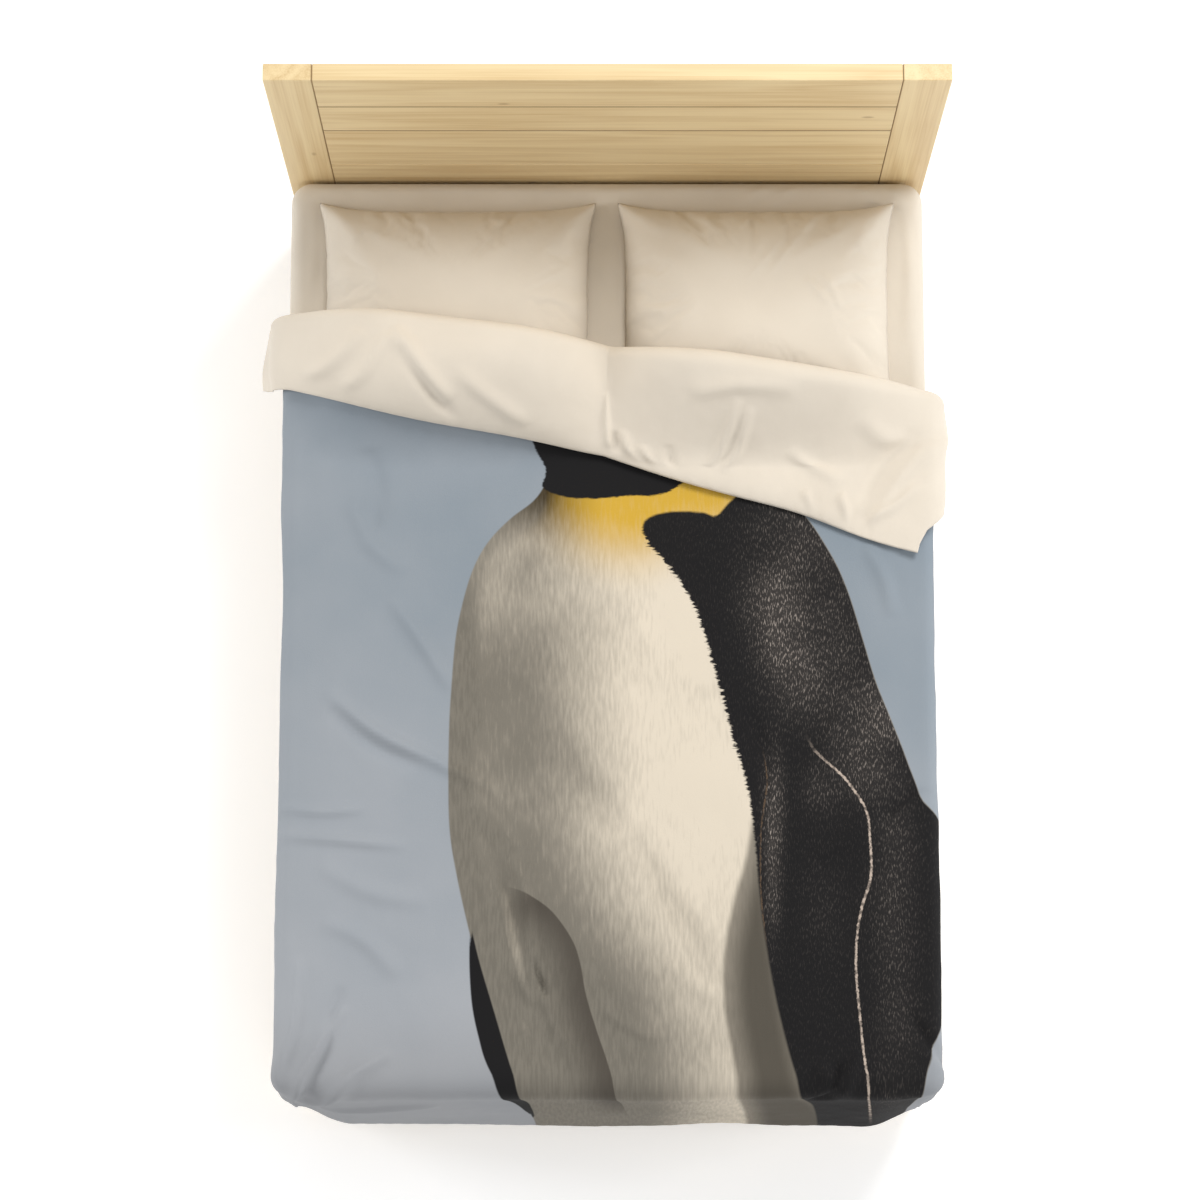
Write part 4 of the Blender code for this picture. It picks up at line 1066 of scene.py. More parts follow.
    def puckers(self, across: np.ndarray, along: np.ndarray, edge: np.ndarray) -> np.ndarray:
        """Short ripples square to the seams, which die out over a few centimetres from them.

        Args:
            across: place across the flat duvet.
            along: place along it.
            edge: distance to the nearest seam.

        Returns:
            How far the ripples lift each point.
        """
        bent = np.sin(along * 140 + 2.3 * lattice_noise(across, along, 0.1, 5))
        bent_head = np.sin(across * 150 + 2.6 * lattice_noise(across, along, 0.1, 6))
        near_side = np.exp(-(self.width / 2 - np.abs(across)) / 0.016)
        near_hem = np.exp(-np.minimum(along, self.length - along) / 0.016)
        return 0.0011 * (bent * near_side + bent_head * near_hem) * smooth_step(edge / 0.004)

    def billows(self, across: np.ndarray, along: np.ndarray) -> np.ndarray:
        """Slow waves where the duvet hangs at sides and foot, and the flare of the turned-down left end.

        Args:
            across: place across the flat duvet.
            along: place along it.

        Returns:
            How far they push each point out.
        """
        d = self.drape
        plan_foot = d.flat_foot - d.fold_y + d.fold_at
        over_side = smooth_step((np.abs(across) - d.flat_side) / 0.12)
        over_foot = smooth_step((plan_foot - along) / 0.20)
        side_wave = lattice_noise(along, across * 0.15 + 3.0, 0.16, 11) * 0.5 + 0.5
        foot_wave = lattice_noise(across, along * 0.12 + 7.0, 0.15, 12) * 0.5 + 0.5
        flare = smooth_step((along - d.fold_at - 0.12) / 0.14) * smooth_step((-across - d.flat_side) / 0.12)
        roll = np.exp(-(((along - plan_foot) / 0.045) ** 2)) * foot_wave
        sides = np.where(across < 0, *self.side_billow) * over_side * side_wave
        foot = self.foot_billow * over_foot * foot_wave
        return sides + foot + self.flap_flare * flare + self.foot_roll * roll

    def lifts(self, across: np.ndarray, along: np.ndarray, edge: np.ndarray) -> tuple[np.ndarray, np.ndarray]:
        """How far creases, billows and seam puckers move the two faces.

        Args:
            across: place across the flat duvet.
            along: place along it.
            edge: distance to the nearest seam.

        Returns:
            The lift of the printed face and of the plain face.
        """
        d = self.drape
        crease = self.crease_power * sum(c.lift(across, along) for c in self.creases)
        clear = smooth_step((edge - 0.004) / 0.045)
        swell = 0.0042 * lattice_noise(across, along, 0.23, 3)
        swell = swell + 0.0014 * lattice_noise(across, along, 0.085, 8)
        fine = 0.0005 * lattice_noise(across * 1.6, along, 0.030, 21)
        billow = self.billows(across, along)
        front = (crease + swell) * clear + fine * clear + self.puckers(across, along, edge) + billow
        flap = smooth_step((across * math.sin(d.slope) + (along - d.fold_at)) / 0.05)
        rest = (np.maximum(crease, 0.0) * 0.8 + 0.0002) * clear + billow
        flap_print = np.maximum(crease * 0.5, -0.002) * clear
        return front * (1 - flap) + flap_print * flap, rest * (1 - flap) + front * flap

    def build(self) -> bpy.types.Object:
        """Makes the duvet and gives it its two cloths.

        Returns:
            The duvet.
        """
        across, along = self.grid()
        edge = np.minimum.reduce([self.width / 2 - np.abs(across), along, self.length - along])
        share = np.clip(edge / self.taper, 0, 1)
        full = self.thickness - self.seam
        flattest = np.where(across < 0, *self.side_fill)
        side_share = flattest + (1 - flattest) * smooth_step((self.width / 2 - np.abs(across) - 0.13) / 0.16)
        thick = self.seam + full * side_share * np.sqrt(np.clip(1 - (1 - share) ** 2, 0, 1))
        d = self.drape
        beyond = (across * math.sin(d.slope) + (along - d.fold_at) * math.cos(d.slope)) / d.fold_run
        base = smooth_step(beyond) * (self.thickness - thick)
        printed_lift, plain_lift = self.lifts(across, along, edge)
        closed = np.minimum(edge / self.closing, 1.0)
        middle = base + thick / 2
        printed = d.place(across, along, middle + closed * thick / 2, printed_lift)
        plain = d.place(across, along, middle - closed * thick / 2, plain_lift)
        rim = edge < 1e-9
        printed = np.where(rim[..., None], (printed + plain) / 2, printed)
        faces, used = sewn(rim)
        points = np.vstack([printed.reshape(-1, 3), plain.reshape(-1, 3)])[used]
        values = self.outlines.fields(across, along)
        fields = {name: np.tile(value.ravel(), 2)[used] for name, value in values.items()}
        place = np.stack([across, along, np.zeros_like(along)], -1).reshape(-1, 3)
        fields["print_place"] = np.vstack([place, place])[used]
        zones = np.repeat([0, 1], len(faces) // 2)
        duvet = make_mesh("duvet", points, faces, fields, zones)
        duvet.data.materials.append(PenguinPrint().build())
        plain_cotton = ClothFinish("duvet_plain", (0.685, 0.617, 0.520), (0.635, 0.567, 0.475), crumple=0.35)
        duvet.data.materials.append(plain_cotton.build())
        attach(duvet, "duvet")
        ties = [f"corner_tie_{end}_{side}" for end in ("foot", "head") for side in ("left", "right")]
        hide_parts("duvet_cover_front", "duvet_cover_back", "duvet_insert", *ties)
        return duvet


# ---------------------------------------------------------------- the pillows


def softened(grid: np.ndarray, passes: int) -> np.ndarray:
    """A grid of points after each one has been averaged with its neighbours several times over.

    Args:
        grid: the grid of points.
        passes: how many times.

    Returns:
        The smoother grid.
    """
    for _ in range(passes):
        padded = np.pad(grid, ((1, 1), (1, 1), (0, 0)), mode="edge")
        sides = padded[:-2, 1:-1] + padded[2:, 1:-1] + padded[1:-1, :-2] + padded[1:-1, 2:]
        grid = 0.5 * grid + 0.125 * sides
    return grid


@dataclass
class Pillow:
    """A stuffed pillow in its case.

    Two flat panels sewn round their edge are blown up as cloth, and the puckers that this makes are laid on a
    pillow's crowned form with pointed corners.
    """

    half_width: float = PILLOW_HALF[0]
    half_depth: float = PILLOW_HALF[1]
    height: float = 0.130
    seam_height: float = 0.012
    rest: float = 0.5219
    centre_x: float = PILLOW_X
    centre_y: float = PILLOW_Y
    columns: int = 104
    rows: int = 86
    pressure: float = 5.0
    frames: int = 22
    side_bow: float = 0.060
    end_bow: float = 0.085
    crown_power: float = 2.6
    crown_fullness: float = 0.62
    cap: float = 0.012
    left_creases: tuple[Crease, ...] = (
        Crease([(-0.285, 0.240), (-0.255, 0.200), (-0.215, 0.150)], 0.0060, 0.014),
        Crease([(-0.125, 0.225), (-0.110, 0.200), (-0.085, 0.175)], 0.0040, 0.007),
        Crease([(-0.105, 0.228), (-0.088, 0.210), (-0.070, 0.195)], -0.0035, 0.007),
        Crease([(0.060, 0.228), (0.075, 0.210), (0.088, 0.185)], 0.0040, 0.007),
        Crease([(0.104, 0.230), (0.100, 0.205), (0.090, 0.180)], 0.0035, 0.007),
        Crease([(0.165, 0.225), (0.180, 0.205), (0.195, 0.195)], 0.0040, 0.008),
        Crease([(0.190, 0.230), (0.205, 0.205), (0.200, 0.190)], -0.0035, 0.007),
        Crease([(0.285, 0.235), (0.255, 0.190), (0.235, 0.120)], 0.0060, 0.018),
        Crease([(-0.285, 0.040), (-0.260, 0.060), (-0.225, 0.065)], 0.0035, 0.009),
        Crease([(0.285, 0.110), (0.265, 0.095), (0.250, 0.060)], -0.0040, 0.010),
        Crease([(-0.180, 0.090), (-0.170, 0.020), (-0.175, -0.040)], 0.0020, 0.010),
    )
    right_creases: tuple[Crease, ...] = (
        Crease([(-0.285, 0.240), (-0.240, 0.200), (-0.200, 0.165)], 0.0055, 0.014),
        Crease([(-0.235, 0.236), (-0.215, 0.215), (-0.195, 0.192)], 0.0035, 0.007),
        Crease([(-0.185, 0.228), (-0.155, 0.190), (-0.122, 0.152)], 0.0050, 0.007),
        Crease([(-0.165, 0.230), (-0.140, 0.200), (-0.110, 0.170)], -0.0040, 0.007),
        Crease([(-0.122, 0.222), (-0.110, 0.195), (-0.092, 0.160)], 0.0045, 0.007),
        Crease([(-0.055, 0.226), (-0.054, 0.205), (-0.050, 0.190)], 0.0035, 0.006),
        Crease([(-0.015, 0.226), (-0.022, 0.200), (-0.034, 0.170)], 0.0045, 0.007),
        Crease([(0.020, 0.224), (0.015, 0.205), (0.018, 0.190)], -0.0035, 0.007),
        Crease([(0.062, 0.226), (0.080, 0.200), (0.104, 0.182)], 0.0045, 0.007),
        Crease([(0.142, 0.226), (0.120, 0.195), (0.094, 0.162)], 0.0050, 0.008),
        Crease([(0.183, 0.228), (0.180, 0.205), (0.172, 0.180)], 0.0040, 0.007),
        Crease([(0.098, 0.160), (0.060, 0.110), (0.022, 0.050)], 0.0022, 0.007),
        Crease([(0.060, 0.150), (0.020, 0.100), (-0.030, 0.040)], 0.0018, 0.006),
        Crease([(0.100, 0.050), (0.135, 0.015), (0.162, -0.020)], 0.0050, 0.009),
        Crease([(0.135, 0.065), (0.160, 0.030), (0.178, -0.015)], 0.0045, 0.008),
        Crease([(-0.290, 0.120), (-0.270, 0.115), (-0.245, 0.130)], -0.0035, 0.009),
        Crease([(0.285, 0.235), (0.250, 0.190), (0.225, 0.120)], 0.0055, 0.018),
        Crease([(-0.260, -0.020), (-0.230, -0.015), (-0.200, -0.020)], 0.0035, 0.009),
    )

    def shares(self) -> tuple[np.ndarray, np.ndarray]:
        """Each grid point's two shares from -1 to 1."""
        return tuple(np.meshgrid(np.linspace(-1, 1, self.columns), np.linspace(-1, 1, self.rows)))

    def seam(self) -> np.ndarray:
        """Which grid points lie on the seam."""
        u, v = self.shares()
        return (np.abs(u) == 1) | (np.abs(v) == 1)

    def crown(self) -> np.ndarray:
        """The share of its full height at each grid point: (1 - |share|^2.6)^0.62 along both shares."""
        u, v = (np.clip(1 - np.abs(share) ** self.crown_power, 0, 1) for share in self.shares())
        return (u * v) ** self.crown_fullness

    def form(self, side: int) -> np.ndarray:
        """The crowned form of the upper (1) or lower (-1) panel about the seam's centre.

        The outline is drawn in between the corners by a share of 1 - v^4, so that the corners stay pointed.
        The lower panel is the same crown cut off flat where it rests.

        Args:
            side: which panel.

        Returns:
            The grid of points.
        """
        u, v = self.shares()
        x = self.half_width * u * (1 - self.side_bow * (1 - v**4))
        y = self.half_depth * v * (1 - self.end_bow * (1 - u**4))
        height = (self.height - self.seam_height - 0.003) * self.crown()
        z = height if side > 0 else -np.minimum(0.6 * height, self.seam_height)
        return np.stack([x, y, z], -1)

    def puckers(self) -> tuple[np.ndarray, np.ndarray]:
        """How blowing up the cloth moves each point of both panels away from a smooth form.

        Returns:
            The move of the upper panel's points and of the lower panel's.
        """
        u, v = self.shares()
        rim = self.seam()
        faces, used = sewn(rim)
        gap = 0.010 * (1 - u**4) * (1 - v**4)
        up = np.stack([self.half_width * 1.08 * u, self.half_depth * 1.10 * v, gap], -1).reshape(-1, 3)
        obj = make_mesh("pillow_form", np.vstack([up, up * np.array([1, 1, -1])])[used], faces)
        cloth = obj.modifiers.new("cloth", "CLOTH")
        settings = cloth.settings
        settings.quality = 6
        settings.mass = 0.15
        settings.tension_stiffness = 25
        settings.compression_stiffness = 25
        settings.shear_stiffness = 8
        settings.bending_stiffness = 0.08
        settings.use_pressure = True
        settings.uniform_pressure_force = self.pressure
        settings.effector_weights.gravity = 0.0
        cloth.collision_settings.use_collision = False
        scene = bpy.context.scene
        for frame in range(1, self.frames + 1):
            scene.frame_set(frame)
        evaluated = obj.evaluated_get(bpy.context.evaluated_depsgraph_get())
        filled = np.zeros(used.sum() * 3)
        evaluated.data.vertices.foreach_get("co", filled)
        scene.frame_set(1)
        bpy.data.objects.remove(obj, do_unlink=True)
        filled = filled.reshape(-1, 3)
        upper = filled[: u.size]
        lower = upper.copy()
        lower[~rim.ravel()] = filled[u.size :]
        moves = []
        for grid in (upper, lower):
            grid = grid.reshape(*u.shape, 3)
            move = grid - softened(grid, 60)
            size = np.linalg.norm(move, axis=-1, keepdims=True)
            moves.append(move * np.minimum(1.0, self.cap / np.maximum(size, 1e-9)))
        return moves[0], moves[1]

    def placed(self, label: str, upper_move: np.ndarray, lower_move: np.ndarray) -> np.ndarray:
        """One pillow's points: its form, its puckers and its creases, under its crown and on the sheet.

        Args:
            label: left or right.
            upper_move: the puckers of the upper panel.
            lower_move: the puckers of the lower panel.

        Returns:
            The upper panel's points and then the lower one's, one row each.
        """
        u, v = self.shares()
        inside = (np.clip(1 - u**8, 0, 1) * np.clip(1 - v**8, 0, 1))[..., None]
        turned = label == "right"
        creases = self.right_creases if turned else self.left_creases
        if turned:
            upper_move, lower_move = (m[::-1, ::-1] * np.array([-1, -1, 1]) for m in (upper_move, lower_move))
        upper = self.form(1) + 0.6 * upper_move * (0.35 + 0.65 * inside)
        x, y = upper[..., 0], upper[..., 1]
        swell = 0.0020 * lattice_noise(x, y, 0.10, 31 if turned else 37)
        upper[..., 2] += (sum(c.lift(x, y) for c in creases) + swell) * inside[..., 0]
        full = self.height - self.seam_height
        upper[..., 2] = np.clip(upper[..., 2], -0.002, full * self.crown() + 0.005)
        lower = self.form(-1) + lower_move * inside * np.array([0.35, 0.35, 0.2])
        lower[..., 2] = np.clip(lower[..., 2], -self.seam_height, 0.0)
        seam = self.seam()
        lower[seam] = upper[seam]
        points = np.concatenate([upper.reshape(-1, 3), lower.reshape(-1, 3)])
        centre = np.array([self.centre_x if turned else -self.centre_x, self.centre_y])
        points += np.array([*centre, self.rest + self.seam_height])
        points[:, 2] = np.maximum(points[:, 2], self.rest)
        limit = np.array([self.half_width, self.half_depth])
        points[:, :2] = np.clip(points[:, :2], centre - limit, centre + limit)
        return points

    def build(self) -> None:
        """Makes both pillows from the same puckers, the right one turned round."""
        upper_move, lower_move = self.puckers()
        faces, used = sewn(self.seam())
        finish = ClothFinish("pillow_cotton", (0.675, 0.609, 0.514), (0.628, 0.562, 0.471), crumple=0.35)
        cotton = finish.build()
        for label in ("left", "right"):
            points = self.placed(label, upper_move, lower_move)[used]
            pillow = make_mesh(f"pillow_{label}", points, faces)
            pillow.data.materials.append(cotton)
            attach(pillow, f"pillow_{label}")
            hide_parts(f"pillowcase_{label}", f"pillow_insert_{label}")
            LOG.info("pillow_%s", label)


# ---------------------------------------------------------------- mattress and sheet


@dataclass
class RoundedBlock:
    """A block with rounded upright corners and rounded top and bottom edges: an outline along a profile."""

    half_x: float
    ends_y: tuple[float, float]
    rounding: float
    corner: float
    around: int = 480

    def outline(self, inset: np.ndarray) -> np.ndarray:
        """A rectangle with round corners, drawn in by inset.

        The points are spaced evenly along its four sides and four quarter circles. A row is the whole ring
        made smaller: across by the inset, and along by the inset within the rounding and by the same share as
        across further in, so that the rings close on the block's middle.

        Args:
            inset: how far each ring is drawn in, one number for each row.

        Returns:
            The rings, with x and y last.
        """
        turn = np.linspace(0, 2 * math.pi, self.around, endpoint=False)
        half_y = (self.ends_y[1] - self.ends_y[0]) / 2
        long_x, long_y = self.half_x - self.corner, half_y - self.corner
        perimeter = 4 * (long_x + long_y) + 2 * math.pi * self.corner
        gone = turn / (2 * math.pi) * perimeter
        lengths = [2 * long_x, math.pi / 2 * self.corner, 2 * long_y, math.pi / 2 * self.corner] * 2
        edges = np.concatenate([[0], np.cumsum(lengths)])
        x, y = np.zeros_like(turn), np.zeros_like(turn)
        centres = [(long_x, -long_y), (long_x, long_y), (-long_x, long_y), (-long_x, -long_y)]
        for index in range(8):
            on = (gone >= edges[index]) & (gone < edges[index + 1] + 1e-12)
            share = (gone[on] - edges[index]) / lengths[index]
            cx, cy = centres[index // 2]
            angle = -math.pi / 2 + (index // 2) * math.pi / 2
            if index % 2 == 0:
                px, py = centres[(index // 2 - 1) % 4]
                x[on] = px + (cx - px) * share + self.corner * math.cos(angle)
                y[on] = py + (cy - py) * share + self.corner * math.sin(angle)
            else:
                bend = angle + share * math.pi / 2
                x[on], y[on] = cx + self.corner * np.cos(bend), cy + self.corner * np.sin(bend)
        shrink_x = (self.half_x - inset)[:, None] / self.half_x
        shrink_y = (half_y - inset * half_y / self.half_x)[:, None] / half_y
        exact_y = (half_y - inset)[:, None] / half_y
        scale_y = np.where(inset[:, None] <= self.rounding, exact_y, shrink_y)
        return np.stack([x[None, :] * shrink_x, y[None, :] * scale_y + sum(self.ends_y) / 2], -1)

    def rings(self, inset: np.ndarray, z: np.ndarray) -> np.ndarray:
        """The block's points: an outline for each step of the profile.

        Args:
            inset: how far each ring is drawn in.
            z: each ring's height.

        Returns:
            The rings, with x, y and z last.
        """
        flat = self.outline(inset)
        height = np.repeat(z[:, None, None], self.around, 1)
        return np.concatenate([flat, height], -1)


@dataclass
class Mattress:
    """A foam mattress in a quilted knitted cover."""

    low: float = 0.3003
    high: float = 0.5203
    half_x: float = 0.7003
    ends_y: tuple[float, float] = (-1.00238, 0.99762)
    rounding: float = 0.030
    quilt_pitch: float = 0.14
    quilt_depth: float = 0.0035

    def build(self) -> None:
        """Makes the mattress."""
        block = RoundedBlock(self.half_x, self.ends_y, self.rounding, 0.045)
        turn = np.linspace(0, math.pi / 2, 9)
        edge_inset = self.rounding * (1 - np.sin(turn))
        edge_drop = self.rounding * (1 - np.cos(turn))
        reach = self.half_x - 0.002
        flat_inset = self.rounding + (reach - self.rounding) * np.linspace(1, 0, 40, endpoint=False)
        side_z = np.linspace(self.low + self.rounding, self.high - self.rounding, 14)[1:-1]
        walls = np.zeros_like(side_z)
        inset = np.concatenate([flat_inset, edge_inset, walls, edge_inset[::-1], flat_inset[::-1]])
        low_edge = self.low + edge_drop
        top_z = np.full(len(flat_inset), self.high)
        low_z = np.full(len(flat_inset), self.low)
        z = np.concatenate([low_z, low_edge, side_z, (self.high - edge_drop)[::-1], top_z])
        rings = block.rings(inset, z)
        flat_share = smooth_step((inset - 0.02) / 0.05)[:, None]
        waves = np.cos(rings[..., :2] * 2 * math.pi / self.quilt_pitch)
        quilt = 0.5 - 0.5 * waves[..., 0] * waves[..., 1]
        push = self.quilt_depth * quilt * flat_share
        middle = (self.low + self.high) / 2
        rings[..., 2] += np.where(rings[..., 2] < middle, push, -push)
        obj = ring_body("mattress", rings, True, True)
        ticking = ClothFinish("mattress_ticking", (0.82, 0.82, 0.80), (0.70, 0.70, 0.69), crumple=0.35)
        obj.data.materials.append(ticking.build())
        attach(obj, "bed_frame")
        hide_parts("mattress_cover_top", "mattress_cover_bottom", "mattress_core")
        LOG.info("mattress")


def ring_body(name: str, rings: np.ndarray, cap_start: bool, cap_end: bool) -> bpy.types.Object:
    """A body from rings of points; a cap closes the first or last ring with a fan about its middle.

    Args:
        name: the object's name.
        rings: one ring of points for each row.
        cap_start: whether the first ring is closed.
        cap_end: whether the last ring is closed.

    Returns:
        The object.
    """
    rows, around = rings.shape[:2]
    points = [rings.reshape(-1, 3)]
    faces = grid_quads(rows, around, ring=True)
    fans = []
    for cap, row, flip in ((cap_start, 0, True), (cap_end, rows - 1, False)):
        if not cap:
            continue
        hub = rows * around + len(points) - 1
        points.append(rings[row].mean(0, keepdims=True))
        ring = row * around + np.arange(around)
        after = row * around + (np.arange(around) + 1) % around
        pair = (after, ring) if flip else (ring, after)
        fans.append(np.stack([pair[0], pair[1], np.full(around, hub)], -1))
    return make_mesh(name, np.vstack(points), faces, triangles=np.vstack(fans) if fans else None)


@dataclass
class FittedSheet:
    """The fitted sheet: one cloth over the mattress's top and sides, gathered at its hem."""

    top: float = 0.5216
    hem: float = 0.3125
    half_x: float = 0.7016
    ends_y: tuple[float, float] = (-1.00368, 0.99892)
    rounding: float = 0.0313
    cloth: float = 0.0006
    creases: tuple[Crease, ...] = (
        Crease([(0.350, 0.990), (0.325, 0.960), (0.290, 0.930)], 0.0060, 0.014),
        Crease([(0.415, 0.990), (0.395, 0.962), (0.360, 0.935)], 0.0060, 0.014),
        Crease([(0.560, 0.990), (0.575, 0.965), (0.600, 0.935)], 0.0070, 0.014),
        Crease([(0.635, 0.990), (0.640, 0.962), (0.655, 0.930)], 0.0060, 0.012),
        Crease([(0.655, 0.980), (0.668, 0.800), (0.662, 0.620)], 0.0035, 0.014),
        Crease([(-0.655, 0.970), (-0.640, 0.850), (-0.660, 0.700)], 0.0025, 0.020),
        Crease([(-0.560, 0.985), (-0.500, 0.960), (-0.380, 0.965)], 0.0025, 0.018),
        Crease([(0.000, 0.985), (0.012, 0.860), (-0.006, 0.720)], 0.0025, 0.018),
        Crease([(-0.300, 0.975), (-0.100, 0.968), (0.150, 0.972)], 0.0020, 0.014),
    )

    def build(self) -> None:
        """Makes the sheet."""
        block = RoundedBlock(self.half_x, self.ends_y, self.rounding, 0.046, around=720)
        turn = np.linspace(0, math.pi / 2, 9)
        edge_inset = self.rounding * (1 - np.cos(turn))
        edge_z = self.top - self.rounding * (1 - np.sin(turn))
        side_z = np.linspace(self.hem, self.top - self.rounding, 20)[:-1]
        spread = np.linspace(0, 1, 90)[1:] ** 1.15
        flat_inset = self.rounding + (self.half_x - 0.002 - self.rounding) * spread
        inset = np.concatenate([np.zeros_like(side_z), edge_inset, flat_inset])
        z = np.concatenate([side_z, edge_z, np.full(len(flat_inset), self.top)])
        rings = block.rings(inset, z)
        x, y = rings[..., 0], rings[..., 1]
        on_top = smooth_step((z - self.top + 0.012) / 0.012)[:, None]
        d = Drape()
        fold_line = d.fold_y - x * math.tan(d.slope) + 0.05
        open_area = smooth_step((y - fold_line) / 0.08)
        for centre in (-PILLOW_X, PILLOW_X):
            u, v = np.abs(x - centre) / PILLOW_HALF[0], np.abs(y - PILLOW_Y) / PILLOW_HALF[1]
            open_area = open_area * smooth_step((np.maximum(u, v) - 0.97) / 0.10)
        lift = sum(c.lift(x, y) for c in self.creases) + 0.0012 * lattice_noise(x, y, 0.06, 4)
        rings[..., 2] += np.maximum(lift, 0.0) * on_top * open_area
        low = smooth_step((0.40 - z) / 0.08)[:, None]
        gather = 0.0006 * low * np.sin(np.arange(block.around) * 2 * math.pi / 9.0)[None, :]
        middle_y = sum(self.ends_y) / 2
        rings[..., 0] += np.sign(x) * gather * (np.abs(x) > self.half_x - 0.05)
        rings[..., 1] += np.sign(y - middle_y) * gather * (np.abs(x) <= self.half_x - 0.05)
        obj = ring_body("fitted_sheet_cloth", rings, False, True)
        solid = obj.modifiers.new("cloth_thickness", "SOLIDIFY")
        solid.thickness = self.cloth
        solid.offset = -1.0
        cotton = ClothFinish("sheet_cotton", (0.680, 0.612, 0.515), (0.625, 0.560, 0.468), crumple=0.35)
        obj.data.materials.append(cotton.build())
        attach(obj, "bed_frame")
        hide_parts("fitted_sheet")
        LOG.info("fitted sheet")


# ---------------------------------------------------------------- frame and fittings


@dataclass
class Woodwork:
    """The headboard, rails, legs and slats, which keep their own nodes."""

    nodes: dict[str, bpy.types.Object]

    def dress(self) -> None:
        """Gives each board its own piece of wood, with the grain along its length."""
        shared = {
            "slat": WoodFinish(
                "slat_pine",
                Grain.ACROSS_BED,
                3.1,
                pale=(0.70, 0.57, 0.38),
                dark=(0.55, 0.41, 0.24),
                roughness=0.6,
            ),
            "long": WoodFinish("rail_pine", Grain.ALONG_BED, 5.7),
            "post": WoodFinish("post_pine", Grain.UPRIGHT, 7.9),
            "rail": WoodFinish("cross_rail_pine", Grain.ACROSS_BED, 9.2),
        }
        made = {key: finish.build() for key, finish in shared.items()}
        for name, node in self.nodes.items():
            if name.startswith("headboard_plank"):
                number = int(name.rsplit("_", 1)[1])
                low, high = (corner[2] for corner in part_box(name))
                top = high if number in (2, 3) else high + OPEN_END
                bottom = low - OPEN_END if number == 3 else low
                shift = 1.7 + 2.9 * number
                wood = WoodFinish(f"{name}_wood", Grain.ACROSS_BED, shift, ("Z", bottom, top)).build()
            elif name.startswith("headboard_stile"):
                left = name.endswith("left")
                low, high = (corner[0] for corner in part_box(name))
                inner = ("X", low - OPEN_END, high) if left else ("X", low, high + OPEN_END)
                wood = WoodFinish(f"{name}_wood", Grain.UPRIGHT, 11.3 if left else 17.9, inner).build()
            elif name.startswith("slat_") and not name.startswith("slat_ledge"):
                wood = made["slat"]
            elif name.startswith(("side_rail", "slat_ledge", "centre_beam")):
                wood = made["long"]
            elif name.startswith(("foot_leg", "centre_leg", "headboard_cleat")):
                wood = made["post"]
            elif name in ("foot_rail", "head_rail"):
                wood = made["rail"]
            else:
                continue
            dress_node(node, wood)
            LOG.info("%s", name)


@dataclass
class Fittings:
    """Bolts, hangers, glides and the zip, which keep their own nodes."""

    nodes: dict[str, bpy.types.Object]

    def dress(self) -> None:
        """Gives each fitting its metal, felt or tape."""
        steel = MetalFinish("zinc_steel").build()
        slider = MetalFinish("slider_steel", (0.66, 0.63, 0.58)).build()
        felt = FeltFinish("glide_felt").build()
        tape = ClothFinish("zip_tape_cloth", (0.86, 0.77, 0.64), (0.72, 0.63, 0.50), crumple=0.2).build()
        kinds = {"bed_bolt": steel, "beam_hanger": steel, "glide": felt, "zip_slider": slider}
        kinds["zip_tape"] = tape
        for name, node in self.nodes.items():
            for start, finish in kinds.items():
                if name.startswith(start):
                    dress_node(node, finish)
                    LOG.info("%s", name)


def dress_node(node: bpy.types.Object, finish: bpy.types.Material) -> None:
    """Replaces a node's materials with one finish."""
    node.data.materials.clear()
    node.data.materials.append(finish)


# ---------------------------------------------------------------- studio


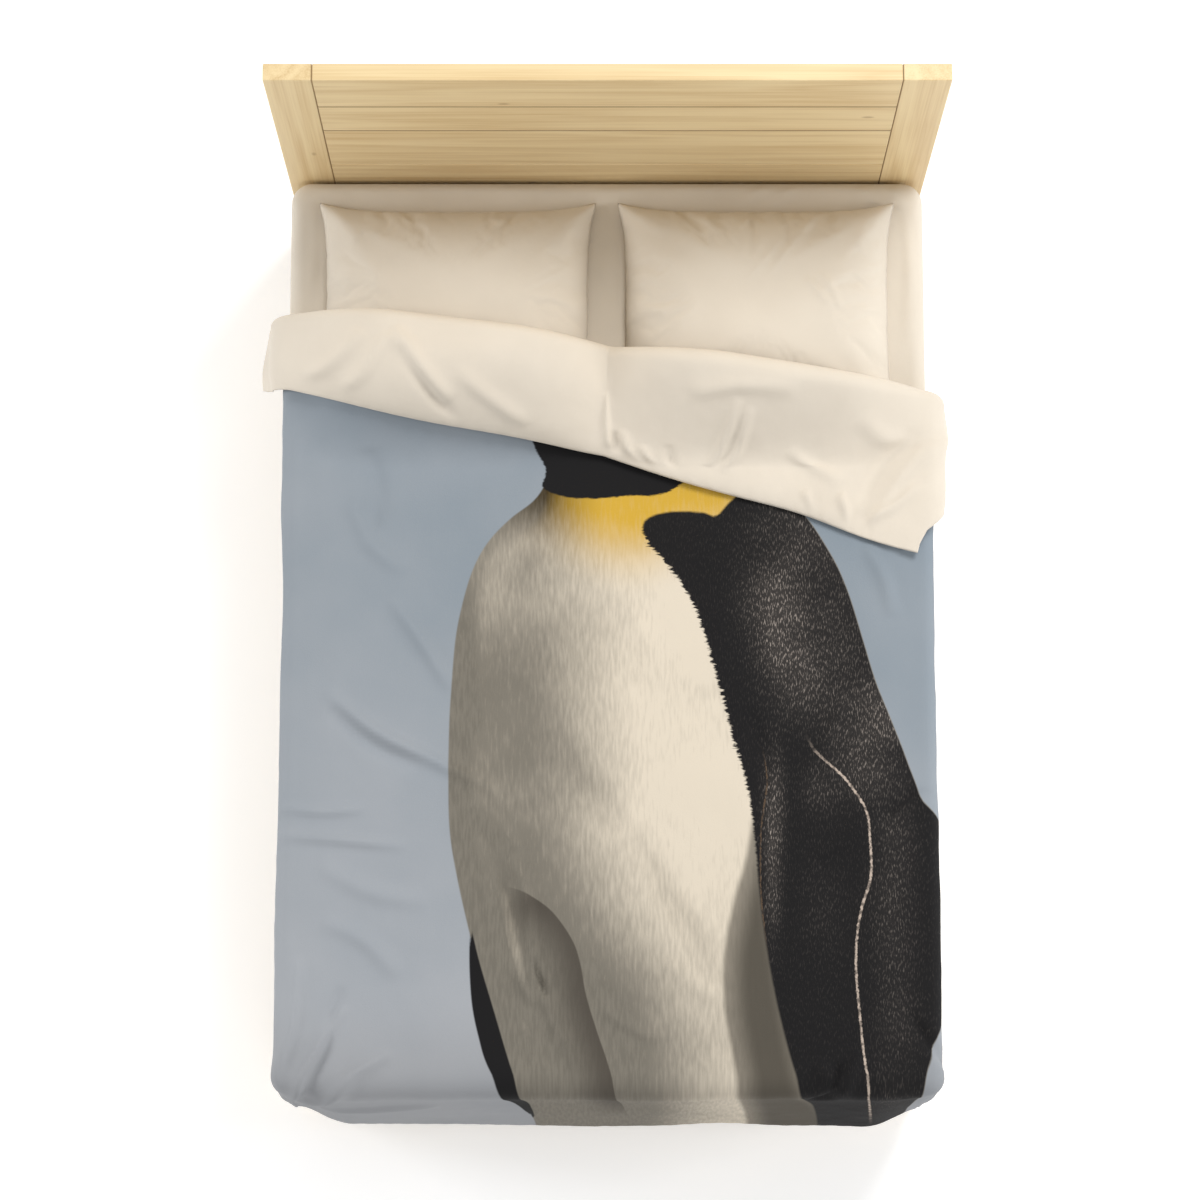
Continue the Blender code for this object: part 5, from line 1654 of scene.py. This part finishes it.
@dataclass
class Studio:
    """A pale floor, soft lights and a camera high over the foot of the bed."""

    camera_place: tuple[float, float, float] = (-0.0153, -1.50, 8.50)
    tilt: float = math.radians(10.99)
    lens: float = 112.2
    floor_half: float = 30.0
    floor_glow: float = 0.30
    sky_light: float = 0.50
    lights: tuple[tuple[str, tuple[float, float, float], float, float], ...] = (
        ("key_light", (2.3, 3.2, 6.0), 2.4, 265.0),
        ("right_light", (5.4, -0.6, 2.4), 1.6, 95.0),
        ("left_light", (-5.2, 0.6, 2.4), 1.6, 105.0),
        ("fill_light", (0.4, -5.5, 4.2), 4.0, 70.0),
    )

    def light(self, name: str, place: tuple[float, float, float], size: float, power: float) -> None:
        """A square soft light that faces the bed's middle.

        Args:
            name: the light's name.
            place: where it stands.
            size: the length of its side.
            power: its power in watts.
        """
        data = bpy.data.lights.new(name, "AREA")
        data.size = size
        data.energy = power
        obj = bpy.data.objects.new(name, data)
        obj.location = place
        towards = np.array([0.0, 0.0, 0.5]) - np.array(place)
        level = math.hypot(towards[0], towards[1])
        obj.rotation_euler = (math.atan2(level, -towards[2]), 0.0, math.atan2(-towards[0], towards[1]))
        bpy.context.scene.collection.objects.link(obj)

    def build(self) -> None:
        """Makes the floor, lights, sky and camera."""
        corners = np.array([[-1.0, -1.0, 0.0], [1.0, -1.0, 0.0], [1.0, 1.0, 0.0], [-1.0, 1.0, 0.0]])
        floor = make_mesh("studio_floor", corners * self.floor_half, np.array([[0, 1, 2, 3]]))
        paint = Graph("floor_paint", 0.9)
        tone = paint.noise(paint.place((1, 1, 1)), 3.0, 2.0)
        paint.colour(paint.mix(tone, (0.90, 0.90, 0.90), (0.92, 0.92, 0.92)))
        paint.shader.inputs["Emission Color"].default_value = (1.0, 1.0, 1.0, 1.0)
        paint.shader.inputs["Emission Strength"].default_value = self.floor_glow
        floor.data.materials.append(paint.material)
        for name, place, size, power in self.lights:
            self.light(name, place, size, power)
        world = bpy.data.worlds.new("studio_sky")
        world.use_nodes = True
        sky = world.node_tree.nodes["Background"]
        sky.inputs["Color"].default_value = (1.0, 1.0, 1.0, 1.0)
        sky.inputs["Strength"].default_value = self.sky_light
        bpy.context.scene.world = world
        bpy.context.scene.view_settings.view_transform = "Standard"
        data = bpy.data.cameras.new("camera")
        data.lens = self.lens
        data.sensor_width = 36.0
        data.clip_end = 100.0
        camera = bpy.data.objects.new("camera", data)
        camera.location = self.camera_place
        camera.rotation_euler = (self.tilt, 0.0, 0.0)
        bpy.context.scene.collection.objects.link(camera)
        bpy.context.scene.camera = camera


def main() -> None:
    """Builds every part of the bed in order."""
    logging.basicConfig(level=logging.INFO, format="%(name)s: %(message)s")
    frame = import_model()
    nodes = frame["nodes"]
    Woodwork(nodes).dress()
    Fittings(nodes).dress()
    Mattress().build()
    FittedSheet().build()
    Pillow().build()
    Duvet().build()
    LOG.info("duvet")
    Studio().build()
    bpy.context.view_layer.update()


if __name__ == "__main__":
    main()
